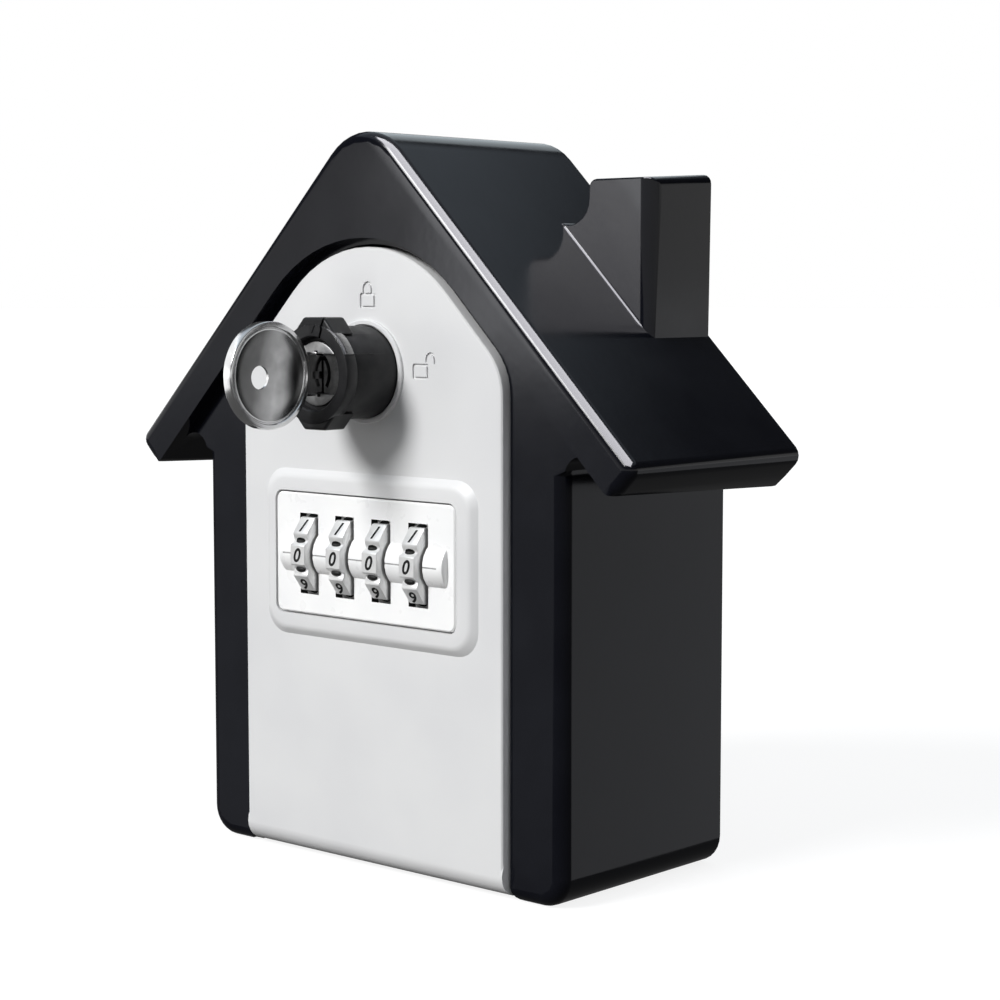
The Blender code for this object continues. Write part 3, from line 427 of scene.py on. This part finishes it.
def boolean(obj, tool, operation="DIFFERENCE", transfer=False, crossing=False):
    """Cut or join by a tool, which may leave its material and may cross itself."""
    modifier = obj.modifiers.new(operation.lower(), "BOOLEAN")
    modifier.operation = operation
    modifier.object = tool
    modifier.solver = "EXACT"
    modifier.use_self = crossing
    if transfer:
        modifier.material_mode = "TRANSFER"
    return obj


def bevel(obj, width, segments, angle=30):
    modifier = obj.modifiers.new("rounded edges", "BEVEL")
    modifier.width = width
    modifier.segments = segments
    modifier.limit_method = "ANGLE"
    modifier.angle_limit = radians(angle)
    return obj


def ring_points(radius, start, end, steps):
    return [(radius * cos(start + (end - start) * i / steps),
             radius * sin(start + (end - start) * i / steps)) for i in range(steps + 1)]


FACINGS = {  # local x, y and z of a flat outline in the model
    "FRONT": Matrix(((1, 0, 0), (0, 0, -1), (0, 1, 0))).to_4x4(),
    "SIDE": Matrix(((0, 0, 1), (1, 0, 0), (0, 1, 0))).to_4x4(),
}


def prism(name, outline, facing, low, high):
    """Solid between two heights: (x, z) outline along Y, or (y, z) outline along X."""
    bm = bmesh.new()
    face = bm.faces.new([bm.verts.new((u, v, low)) for u, v in outline])
    made = bmesh.ops.extrude_face_region(bm, geom=[face])
    top = [item for item in made["geom"] if isinstance(item, bmesh.types.BMVert)]
    bmesh.ops.translate(bm, vec=(0, 0, high - low), verts=top)
    turn = FACINGS[facing]
    if facing == "FRONT":
        turn = turn @ Matrix.Scale(-1, 4, (0, 0, 1))
    bmesh.ops.transform(bm, matrix=turn, verts=bm.verts)
    bmesh.ops.recalc_face_normals(bm, faces=bm.faces)
    return object_from_bmesh(name, bm)


def turned(name, profile, steps):
    """Solid turned about the Y axis from a closed (radius, y) profile."""
    bm = bmesh.new()
    rings = []
    for radius, y in profile:
        count = 1 if radius < 1e-7 else steps
        rings.append([bm.verts.new((radius * cos(tau * i / steps), y, radius * sin(tau * i / steps)))
                      for i in range(count)])
    for first, second in zip(rings, rings[1:]):
        for i in range(steps):
            after = (i + 1) % steps
            corners = [first[i % len(first)], first[after % len(first)],
                       second[after % len(second)], second[i % len(second)]]
            unique = list(dict.fromkeys(corners))
            if len(unique) > 2:
                bm.faces.new(unique)
    bmesh.ops.remove_doubles(bm, verts=bm.verts, dist=1e-7)
    bmesh.ops.recalc_face_normals(bm, faces=bm.faces)
    return object_from_bmesh(name, bm)


def cylinder(name, axis, radius, low, high, steps):
    """Cylinder about the X or Y axis."""
    bm = bmesh.new()
    bmesh.ops.create_cone(bm, cap_ends=True, segments=steps, radius1=radius, radius2=radius,
                          depth=high - low)
    middle = (low + high) / 2
    turn = FACINGS["SIDE" if axis == "X" else "FRONT"]
    place = (middle, 0, 0) if axis == "X" else (0, middle, 0)
    bmesh.ops.transform(bm, matrix=Matrix.Translation(place) @ turn, verts=bm.verts)
    return object_from_bmesh(name, bm)


def box(name, low, high):
    bm = bmesh.new()
    bmesh.ops.create_cube(bm, size=1)
    size = [h - l for l, h in zip(low, high)]
    centre = [(h + l) / 2 for l, h in zip(low, high)]
    bmesh.ops.scale(bm, vec=size, verts=bm.verts)
    bmesh.ops.translate(bm, vec=centre, verts=bm.verts)
    return object_from_bmesh(name, bm)


def merged(name, objects):
    """One object holding the meshes of several, welded; the several are removed."""
    bm = bmesh.new()
    for obj in objects:
        mesh = finished_mesh(obj)
        mesh.transform(obj.matrix_world)
        bm.from_mesh(mesh)
        bpy.data.meshes.remove(mesh)
        bpy.data.objects.remove(obj)
    bmesh.ops.remove_doubles(bm, verts=bm.verts, dist=1e-6)
    bmesh.ops.recalc_face_normals(bm, faces=bm.faces)
    return object_from_bmesh(name, bm)


def flat_shaded(obj):
    """Weight the normals by area, so that a fillet's shading doesn't spill onto the flats."""
    mesh = obj.data
    mesh.shade_smooth()
    around = [[] for _ in mesh.vertices]
    for face in mesh.polygons:
        for index in face.vertices:
            around[index].append(face)
    normals = []
    for face in mesh.polygons:
        for index in face.vertices:
            near = [other for other in around[index]
                    if other.normal.dot(face.normal) > FLAT_SPREAD]
            total = sum((other.normal * other.area for other in near), Vector())
            normals.append(total.normalized())
    mesh.normals_split_custom_set(normals)
    return obj


def bake_modifiers():
    """Apply the pieces' modifiers and drop their tools, which wouldn't follow a moved piece."""
    tools = set()
    for obj in list(bpy.data.objects):
        if not obj.modifiers or "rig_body" not in obj:
            continue
        tools.update(modifier.object for modifier in obj.modifiers if modifier.type == "BOOLEAN")
        obj.data = finished_mesh(obj)
        obj.modifiers.clear()
    for tool in tools:
        bpy.data.objects.remove(tool)


def refined(node, material, slot, edge=0.0):
    """Copy of a CAD node whose vertices are welded, so that its curved faces shade smoothly."""
    source = NODES[node]
    mesh = source.data.copy()
    for layer in ("custom_normal", "sharp_edge", "sharp_face"):
        if layer in mesh.attributes:
            mesh.attributes.remove(mesh.attributes[layer])
    bm = bmesh.new()
    bm.from_mesh(mesh)
    bpy.data.meshes.remove(mesh)
    bmesh.ops.remove_doubles(bm, verts=bm.verts, dist=2e-6)
    obj = object_from_bmesh(node + "_finish", bm)
    smooth(obj, SHARP_EDGE)
    paint(obj, material)
    if edge:
        bevel(obj, edge, 2, 40)
    return finish_piece(obj, source["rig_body"], slot, node)


# ---------------------------------------------------------------- code wheels

def rim_radius(angle):
    """Ten flat digit pads with a smooth groove between neighbours; pad 0 is at angle 0."""
    offset = abs((angle + DIGIT_PITCH / 2) % DIGIT_PITCH - DIGIT_PITCH / 2)
    if offset <= PAD_HALF:
        return PAD_DISTANCE / cos(offset)
    share = (offset - PAD_HALF) / (DIGIT_PITCH / 2 - PAD_HALF)
    return WHEEL_RADIUS - GROOVE * sin(share * pi / 2) ** 2


def rim_angles():
    """Angles of the rim's points: the two corners of each pad and the groove between."""
    reach = DIGIT_PITCH - 2 * PAD_HALF
    for digit in range(DIGITS):
        start = digit * DIGIT_PITCH
        yield start - PAD_HALF
        for i in range(GROOVE_STEPS):
            yield start + PAD_HALF + reach * i / GROOVE_STEPS


def pad_frame(angle):
    """Turn and place of a pad seen from outside: x along the axle, z outwards."""
    return Matrix(((1, 0, 0), (0, sin(angle), -cos(angle)), (0, cos(angle), sin(angle)))).to_4x4()


def digit_mark(digit):
    """Solid of one slanted digit that reaches ENGRAVING deep into its pad."""
    curve = bpy.data.curves.new("digit", "FONT")
    curve.body = str(digit)
    curve.size = DIGIT_SIZE
    curve.align_x = "CENTER"
    curve.align_y = "CENTER"
    curve.shear = 0.25
    curve.extrude = 2 * ENGRAVING
    curve.offset = 0.10 * MM
    curve.resolution_u = 6
    text = new_object("digit", curve)
    mesh = finished_mesh(text)
    bpy.data.objects.remove(text)
    mesh.transform(Matrix.Diagonal((1.0, 0.98, 1, 1)))
    centre = sum((Vector(vert.co) for vert in mesh.vertices), Vector()) / len(mesh.vertices)
    lift = PAD_DISTANCE + ENGRAVING
    mesh.transform(Matrix.Translation((-centre.x, -centre.y, lift)))
    mesh.transform(pad_frame(digit * DIGIT_PITCH))
    mesh.materials.clear()
    return new_object("digit", mesh)


def groove_pit(number):
    """Oval pit in the groove above a digit's pad."""
    bm = bmesh.new()
    bmesh.ops.create_uvsphere(bm, u_segments=32, v_segments=16, radius=1)
    bmesh.ops.scale(bm, vec=(1.3 * MM, 0.6 * MM, 0.55 * MM), verts=bm.verts)
    floor = WHEEL_RADIUS - GROOVE
    bmesh.ops.translate(bm, vec=(0, 0, floor + 0.12 * MM), verts=bm.verts)
    bmesh.ops.transform(bm, matrix=pad_frame((number + 0.5) * DIGIT_PITCH), verts=bm.verts)
    return object_from_bmesh("pit", bm)


def wheel_mesh(chrome, ink):
    """Mesh of one engraved wheel centred on its axle."""
    low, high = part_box(WHEELS[0])
    half = (high.x - low.x) / 2
    outline = []
    for angle in rim_angles():
        radius = rim_radius(angle)
        outline.append((-radius * cos(angle), radius * sin(angle)))
    wheel = prism("wheel", outline, "SIDE", -half, half)
    paint(wheel, chrome)
    bevel(wheel, 0.18 * MM, 2, 50)
    bore = cylinder("bore", "X", BORE, -half - MM, half + MM, 48)
    boolean(wheel, bore)
    marks = merged("marks", [digit_mark(digit) for digit in range(DIGITS)])
    pits = merged("pits", [groove_pit(number) for number in range(DIGITS)])
    # the digits take the ink, the pits take the same black as painted shade in their hollows
    for tool in (marks, pits):
        paint(tool, ink)
        boolean(wheel, tool, transfer=True, crossing=True)
    mesh = finished_mesh(wheel)
    for obj in (wheel, bore, marks, pits):
        bpy.data.objects.remove(obj)
    mesh.shade_smooth()
    mesh.set_sharp_from_angle(angle=radians(28))
    return mesh


def engraved_wheels(chrome, ink):
    """One engraved wheel in the place of each digit wheel."""
    mesh = wheel_mesh(chrome, ink)
    for node in WHEELS:
        low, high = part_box(node)
        wheel = new_object(node.replace("digit_wheel", "engraved_wheel"), mesh)
        wheel.location = ((low.x + high.x) / 2, WHEEL_AXIS.y, WHEEL_AXIS.z)
        finish_piece(wheel, NODES[node]["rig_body"], "chrome", node)


def shade_slots(plate, shade):
    """Painted shade: the walls of the wheels' slots take a dark colour, as they lie in the dark
    behind the plate's face.
    """
    plate.data.materials.append(shade)
    for face in plate.data.polygons:
        across = (face.center.x - WHEEL_AXIS.x) / WHEEL_PITCH
        wheel = round(across)
        beside = abs(across - wheel) * WHEEL_PITCH < SLOT_HALF and 0 <= wheel < len(WHEELS)
        reach = hypot(face.center.y - WHEEL_AXIS.y, face.center.z - WHEEL_AXIS.z)
        is_wall = abs(face.normal.y) < 0.95 and reach < WHEEL_RADIUS + 0.5 * MM
        if beside and is_wall:
            face.material_index = 1


def index_line(plate, ink):
    """Fine line along the middle of the dial plate's bulge, in a shallow groove."""
    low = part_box("dial_plate")[0]
    half = 0.13 * MM
    groove = box("index", (-21 * MM, low.y - MM, WHEEL_AXIS.z - half),
                 (21.2 * MM, low.y + 0.12 * MM, WHEEL_AXIS.z + half))
    paint(groove, ink)
    boolean(plate, groove, transfer=True)


# ---------------------------------------------------------------- knob, plug and key

def knob_profile():
    """Closed (radius, y) profile of the collar, the barrel and its hollow stem."""
    edge = 0.25 * MM
    inner = KNOB_RADIUS - 0.12 * MM
    clip_front, clip_rear, clip_radius = -22.4 * MM, -20.8 * MM, STEM - 0.6 * MM
    floor = PLUG_FACE + 0.6 * MM
    outside = [(COUNTERBORE, KNOB_FRONT + edge), (COUNTERBORE + edge, KNOB_FRONT),
               (COLLAR - edge, KNOB_FRONT), (COLLAR - 0.07 * MM, KNOB_FRONT + 0.07 * MM),
               (COLLAR, KNOB_FRONT + edge), (COLLAR, COLLAR_STEP - edge),
               (COLLAR - 0.1 * MM, COLLAR_STEP - 0.08 * MM), (inner, COLLAR_STEP),
               (inner, COLLAR_STEP + edge), (KNOB_RADIUS, COLLAR_STEP + 2 * edge),
               (KNOB_RADIUS, KNOB_SEAT - edge), (KNOB_RADIUS - edge, KNOB_SEAT)]
    stem = [(STEM, KNOB_SEAT), (STEM, clip_front), (clip_radius, clip_front),
            (clip_radius, clip_rear), (STEM, clip_rear), (STEM, STEM_END), (0, STEM_END)]
    hollow = [(0, PLUG_END + GAP), (PLUG_BORE, PLUG_END + GAP), (PLUG_BORE, floor),
              (COUNTERBORE, floor), (COUNTERBORE, KNOB_FRONT + edge)]
    return outside + stem + hollow


def knob_lug(side):
    """Lug above or below the plug, whose shoulders run into the collar."""
    front, depth = KNOB_FRONT + 0.35 * MM, 5.6 * MM
    corners = [(-5.7, 7.5), (-2.8, LUG_TOP / MM), (2.8, LUG_TOP / MM), (5.7, 7.5)]
    outline = [(x * MM, side * z * MM) for x, z in corners]
    return bevel(prism("lug", outline, "FRONT", front, front + depth), 0.5 * MM, 4)


def pointer_groove():
    """Fine groove down the face that parts the pointer from the collar's ring."""
    path = [(3.1, 10.9), (2.35, 9.4), (2.55, 8.4), (2.0, 6.8)]
    half = 0.28
    outline = [(u - half, v) for u, v in path] + [(u + half, v) for u, v in reversed(path)]
    return prism("pointer_groove", [(u * MM, v * MM) for u, v in outline], "FRONT",
                 KNOB_FRONT - MM, KNOB_FRONT + 0.75 * MM)


def pointer_mark():
    """Small triangle standing very slightly proud of the upper lug's face."""
    tip, base, half = 7.7 * MM, 9.3 * MM, 0.85 * MM
    return prism("pointer_mark", [(0, tip), (half, base), (-half, base)], "FRONT",
                 KNOB_FRONT - 0.14 * MM, KNOB_FRONT + 0.6 * MM)


def mould_line():
    """Faint ridge along the collar and barrel where the mould halves met."""
    root, height, half = 0.6 * MM, 0.09 * MM, 0.1 * MM
    lines = []
    for radius, start, end in ((COLLAR, KNOB_FRONT + 0.3 * MM, COLLAR_STEP - 0.3 * MM),
                               (KNOB_RADIUS, COLLAR_STEP + 0.6 * MM, COLLAR_STEP + 5.4 * MM)):
        reach = (radius ** 2 - MOULD_HEIGHT ** 2) ** 0.5
        lines.append(box("mould", (reach - root, start, MOULD_HEIGHT - half),
                         (reach + height, end, MOULD_HEIGHT + half)))
    return lines


def placed_on_knob(*objects):
    for obj in objects:
        obj.location = (0, 0, KNOB_AXIS.z)


def paint_knob(knob):
    """Glossy land on the collar and matt crown on the barrel, above the mould line."""
    land = knob_plastic("collar_land", 0.25, 1.0)
    land.node_tree.nodes["Principled BSDF"].inputs["Coat Weight"].default_value = 1.0
    base = knob_plastic("knob_plastic", 0.40, 0.30)
    crown = knob_plastic("knob_crown", 0.46, 0.34)
    paint(knob, base, crown, land)
    for face in knob.data.polygons:
        reach = hypot(face.center.x, face.center.z)
        if face.center.z > MOULD_HEIGHT and reach > KNOB_RADIUS - 0.3 * MM:
            face.material_index = 2 if face.center.y < COLLAR_STEP else 1


def cam_drive():
    """Square end of the stem, which turns the cam."""
    half = 4 * MM
    square = [(-half, -half), (half, -half), (half, half), (-half, half)]
    drive = prism("drive", square, "FRONT", STEM_END - 0.5 * MM, -11.5 * MM)
    return bevel(drive, 0.5 * MM, 2)


def moulded_knob():
    """Collar, barrel, lugs and stem in one moulding."""
    knob = turned("moulded_knob", knob_profile(), 160)
    paint_knob(knob)
    additions = [knob_lug(1), knob_lug(-1), pointer_mark(), cam_drive(), *mould_line()]
    screw_hole = cylinder("screw_hole", "Y", 1.8 * MM, -15.4 * MM, -11 * MM, 32)
    cuts = [pointer_groove(), screw_hole]
    for tool in additions:
        boolean(knob, tool, "UNION")
    for tool in cuts:
        boolean(knob, tool)
    placed_on_knob(knob, *additions, *cuts)
    smooth(knob, 32)
    return finish_piece(knob, "knob", "black_plastic", "knob")


def keyway_arc():
    """Curved ward of the keyway, to the right of the blade."""
    outer = ring_points(4.6 * MM, radians(-36), radians(50), 20)
    inner = ring_points(3.75 * MM, radians(50), radians(-36), 20)
    return prism("ward", [(u - 1.5 * MM, v) for u, v in outer + inner], "FRONT",
                 PLUG_FACE - MM, PLUG_FACE + 4 * MM)


def lock_plug(metal, shade):
    """Plug with a dark recessed band, a keyway with a curved ward and the wafers' slots."""
    edge = 0.3 * MM
    profile = [(0, PLUG_FACE), (PLUG - edge, PLUG_FACE),
               (PLUG - 0.08 * MM, PLUG_FACE + 0.08 * MM), (PLUG, PLUG_FACE + edge),
               (PLUG, PLUG_END - edge), (PLUG - edge, PLUG_END), (0, PLUG_END)]
    plug = turned("lock_plug", profile, 128)
    paint(plug, metal)
    half, height = BLADE_THICK / 2 + GAP, BLADE_HALF + GAP
    band = box("band", (-9 * MM, PLUG_FACE - MM, -BAND), (9 * MM, BAND_FLOOR, BAND))
    notches = [box("notch", (x - 0.45 * MM, PLUG_FACE - MM, z - 0.5 * MM),
                   (x + 0.45 * MM, BAND_FLOOR, z + 0.5 * MM))
               for x, z in ((-0.1 * MM, BAND), (0.6 * MM, -BAND))]
    tools = [bevel(band, 0.2 * MM, 2, 50), *notches, keyway_arc(),
             box("keyway", (-half, PLUG_FACE - MM, -height), (half, -18 * MM, height))]
    for node in WAFERS:
        low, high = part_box(node)
        y = (low.y + high.y) / 2
        tools.append(box("wafer_slot", (-2.3 * MM, y - 0.9 * MM, -9 * MM),
                         (2.3 * MM, y + 0.9 * MM, 9 * MM)))
    # the band takes the dark metal; inside the keyway and slots it is painted shade
    for tool in tools:
        paint(tool, shade)
        boolean(plug, tool, transfer=True)
    placed_on_knob(plug, *tools)
    smooth(plug, 30)
    return finish_piece(plug, "plug", "zinc", "key_plug")


def head_profile():
    """Closed (radius, x) profile of the key's dished head: a raised rim, a fine step, the dish."""
    corner = 0.3 * MM
    inner = HEAD_RADIUS - RIM
    half = []
    for share in (0, 0.25, 0.5, 0.75, 1):
        half.append((share * (inner - 0.75 * MM), (0.24 + 0.42 * share ** 2) * MM))
    half += [(inner - 0.6 * MM, 0.74 * MM), (inner - 0.35 * MM, 0.78 * MM),
             (inner - 0.25 * MM, 0.62 * MM), (inner - 0.1 * MM, 0.62 * MM),
             (inner, 1.0 * MM), (inner + 0.12 * MM, HEAD_HALF)]
    for i in range(7):
        angle = pi / 2 * (1 - i / 6)
        half.append((HEAD_RADIUS - corner + corner * cos(angle),
                     HEAD_HALF - corner + corner * sin(angle)))
    return half + [(radius, -x) for radius, x in reversed(half)]


def blade_outline(middle_z):
    """Side of the blade: flat back below, cuts along the top, bevelled tip."""
    low, high = middle_z - BLADE_HALF, middle_z + BLADE_HALF
    points = [(NECK_FRONT, low), (-18.9 * MM, low), (BLADE_TIP, low + 2.6 * MM),
              (BLADE_TIP, low + 4.2 * MM)]
    for centre, depth in KEY_CUTS:
        for side, drop in ((1.3, 0.3), (0.5, depth), (-0.5, depth), (-1.3, 0.3)):
            points.append(((centre + side) * MM, high - drop * MM))
    return points + [(-36 * MM, high), (NECK_FRONT, high)]


def neck_outline(middle_z):
    low, high = middle_z - BLADE_HALF - 0.7 * MM, middle_z + BLADE_HALF + 0.7 * MM
    return [(NECK_FRONT, low), (NECK_REAR, low), (NECK_REAR, high), (NECK_FRONT, high)]


def dished_key(metal, dish):
    """Round dished head with a ring hole, and a blade with a groove along each side."""
    head_y, head_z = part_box("key")[0].y + HEAD_RADIUS, KNOB_AXIS.z
    key = turned("dished_key", head_profile(), 128)
    paint(key, metal, dish)
    # faces inside the rim take the dish's painted reflection, the rim keeps plain nickel
    for face in key.data.polygons:
        reach = hypot(face.center.x, face.center.z)
        face.material_index = int(reach < HEAD_RADIUS - RIM - 0.5 * MM)
    key.data.transform(Matrix.Rotation(pi / 2, 4, "Z"))
    key.data.transform(Matrix.Translation((0, head_y, head_z)))
    half = BLADE_THICK / 2
    blade = bevel(prism("blade", blade_outline(head_z), "SIDE", -half, half), 0.08 * MM, 2, 45)
    neck = bevel(prism("neck", neck_outline(head_z), "SIDE", -half, half), 0.5 * MM, 3, 50)
    for tool in (blade, neck):
        boolean(key, tool, "UNION")
    hole = cylinder("ring_hole", "X", 2.2 * MM, -3 * MM, 3 * MM, 64)
    hole.location = (0, head_y - 2.2 * MM, head_z - 0.3 * MM)
    boolean(key, hole)
    for side in (-1, 1):
        near, far = sorted((side * 0.55 * MM, side * 2 * MM))
        groove = box("groove", (near, -40 * MM, head_z - 0.9 * MM),
                     (far, -18 * MM, head_z + 0.5 * MM))
        boolean(key, groove)
    smooth(key, 30)
    return finish_piece(key, "key", "nickel", "key")


# ---------------------------------------------------------------- case, door and inner pieces

def chimney_foot():
    """Points where the chimney meets the roof's slope, each with the chimney's outward normal."""
    forward = Vector((0, -1, 0))
    turn_x, turn_y = CHIMNEY_RIGHT - CHIMNEY_CORNER, CHIMNEY_FRONT + CHIMNEY_CORNER
    path = [(COVE_TIP, CHIMNEY_FRONT, forward), (turn_x, CHIMNEY_FRONT, forward)]
    for step in range(1, 9):
        angle = pi / 2 * step / 9
        outward = Vector((sin(angle), -cos(angle), 0))
        path.append((turn_x + CHIMNEY_CORNER * outward.x,
                     turn_y + CHIMNEY_CORNER * outward.y, outward))
    return [(Vector((x, y, ROOF_APEX - x)), outward) for x, y, outward in path]


def chimney_fillet(enamel):
    """Fine fillet along the foot of the chimney's front face, which catches the light."""
    radius, sunk, steps = 0.55 * MM, 0.25 * MM, 6
    slope = Vector((1, 0, 1)).normalized()
    bm = bmesh.new()
    rings = []
    for foot, outward in chimney_foot():
        centre = foot + radius * (outward + slope) / (1 + outward.dot(slope))
        points = [foot - sunk * (outward + slope)]
        for i in range(steps + 1):
            points.append(centre - radius * outward.lerp(slope, i / steps).normalized())
        rings.append([bm.verts.new(point) for point in points])
    for first, second in zip(rings, rings[1:]):
        for i in range(len(first)):
            j = (i + 1) % len(first)
            bm.faces.new((first[i], first[j], second[j], second[i]))
    bm.faces.new(rings[0])
    bm.faces.new(rings[-1])
    bmesh.ops.recalc_face_normals(bm, faces=bm.faces)
    fillet = object_from_bmesh("chimney_fillet", bm)
    paint(fillet, enamel)
    smooth(fillet, 40)
    return finish_piece(fillet, "case", "black_paint")


def carry_over(nodes, material):
    """Give CAD nodes, whose shape is right, their procedural material."""
    for node in nodes:
        paint(NODES[node], material)


def build_looks():
    enamel, grey = black_enamel(), door_enamel()
    zinc, brass, steel = zinc_plate(), turned_brass(), spring_steel()
    ink = digit_ink()
    shell = flat_shaded(refined("house_shell", enamel, "black_paint"))
    cover = refined("rear_cover", enamel, "black_paint")
    fillet = chimney_fillet(enamel)
    refined("door_panel", grey, "grey_paint")
    plate = refined("dial_plate", dial_plastic(), "white_plastic")
    shade_slots(plate, ink)
    index_line(plate, index_ink())
    engraved_wheels(wheel_chrome(), ink)
    knob = moulded_knob()
    lock_plug(plug_metal(), band_metal())
    key = dished_key(key_nickel(), key_dish())
    refined("dial_cover", cover_plastic(), "black_plastic", 0.25 * MM)
    for node in ("lock_cam", "cam_washer", "hinge_pin", "key_hook_rail", "strike_plate"):
        refined(node, zinc, "zinc", 0.2 * MM)
    for node in [*SCREWS, "cam_screw"]:
        refined(node, zinc, "zinc", 0.12 * MM)
    carry_over(["dial_axle", "code_bar", "code_reset_lever"], zinc)
    carry_over([*SLEEVES, *WAFERS], brass)
    carry_over(["detent_spring", "knob_clip"], steel)
    bake_modifiers()
    return [shell, cover, fillet], knob, key


# ---------------------------------------------------------------- studio

def studio_floor():
    """White sheet under the box that shows only to the camera, so that it sends no light up."""
    bm = bmesh.new()
    bmesh.ops.create_circle(bm, cap_ends=True, segments=96, radius=FLOOR_RADIUS)
    floor = object_from_bmesh("studio_floor", bm)
    floor.location = (0, 0, CAD_LOW.z - 0.05 * MM)
    floor.visible_diffuse = False
    floor.visible_glossy = False
    floor.visible_shadow = False
    paint(floor, studio_paper())


def studio_world():
    """Dark room with a white band at the horizon and a bright ceiling."""
    world = bpy.data.worlds.new("studio")
    bpy.context.scene.world = world
    world.use_nodes = True
    nodes, links = world.node_tree.nodes, world.node_tree.links
    direction = nodes.new("ShaderNodeTexCoord")
    split = nodes.new("ShaderNodeSeparateXYZ")
    spread = nodes.new("ShaderNodeMapRange")
    spread.inputs["From Min"].default_value = -1
    ramp = nodes.new("ShaderNodeValToRGB")
    fill_ramp(ramp, [((height + 1) / 2, (value * (1 - blue), value * (1 - blue / 2), value))
                     for height, value, blue in WORLD_BANDS])
    links.new(direction.outputs["Generated"], split.inputs["Vector"])
    links.new(split.outputs["Z"], spread.inputs["Value"])
    links.new(spread.outputs["Result"], ramp.inputs["Fac"])
    links.new(ramp.outputs["Color"], nodes["Background"].inputs["Color"])


def aimed(obj, place, target):
    """Put a lamp at a place and turn it to the target."""
    obj.location = place
    obj.rotation_euler = (Vector(target) - Vector(place)).to_track_quat("-Z", "Y").to_euler()


def key_sun():
    """Key light from the upper left front."""
    light = bpy.data.lights.new("key_sun", "SUN")
    light.energy = 3.4
    light.angle = radians(20)
    lamp = new_object("key_sun", light)
    aimed(lamp, (-0.20, -0.95, 0.70), (0, 0, 0))


def softbox(name, receivers, direction, size, radiance, colour=(1, 1, 1)):
    """Area light that lights only the given objects and shows in their gloss."""
    light = bpy.data.lights.new(name, "AREA")
    light.shape = "RECTANGLE"
    light.size, light.size_y = size
    light.color = colour
    light.energy = radiance * pi * size[0] * size[1]
    lamp = new_object(name, light)
    lamp.visible_camera = False
    lamp.visible_diffuse = False
    place = PANEL_TARGET + Vector(direction).normalized() * PANEL_DISTANCE
    aimed(lamp, place, PANEL_TARGET)
    group = bpy.data.collections.new(name + "_receivers")
    for obj in receivers:
        group.objects.link(obj)
    lamp.light_linking.receiver_collection = group


def gloss_panels(shell, knob, key):
    """What the dark gloss mirrors: each panel shows in one facing of one part."""
    softbox("roof_edge_box", shell, (0.20, -0.42, 0.88), (1.45, 1.2), 32, (0.95, 0.94, 1.0))
    softbox("side_panel", shell, (0.61, 0.775, -0.19), (0.6, 0.46), 0.75, (0.93, 0.95, 1.0))
    softbox("front_panel", shell, (-0.70, -0.70, -0.17), (0.7, 0.40), 0.4, (0.9, 0.93, 1.0))
    softbox("chimney_panel", shell, (-0.575, -0.81, 0.114), (0.25, 0.32), 6, (0.95, 0.96, 1.0))
    softbox("ridge_panel", shell, (-0.50, 0.75, 0.44), (0.6, 0.47), 1.0, (0.84, 0.94, 1.0))
    softbox("knob_panel", [knob], (0.05, 0.75, 0.66), (1.7, 0.34), 36)
    softbox("key_panel", [key], (-0.85, -0.35, 0.20), (1.3, 1.5), 1.2)


def studio_camera():
    camera = new_object("camera", bpy.data.cameras.new("camera"))
    camera.data.lens = CAMERA_LENS
    camera.data.clip_start = 10 * MM
    camera.location = CAMERA_PLACE
    camera.rotation_euler = Euler((pi / 2 - CAMERA_PITCH, 0, CAMERA_AZIMUTH))
    bpy.context.scene.camera = camera


def build_studio(shell, knob, key):
    studio_floor()
    studio_world()
    key_sun()
    gloss_panels(shell, knob, key)
    studio_camera()
    bpy.context.scene.view_settings.view_transform = "Standard"


build_studio(*build_looks())
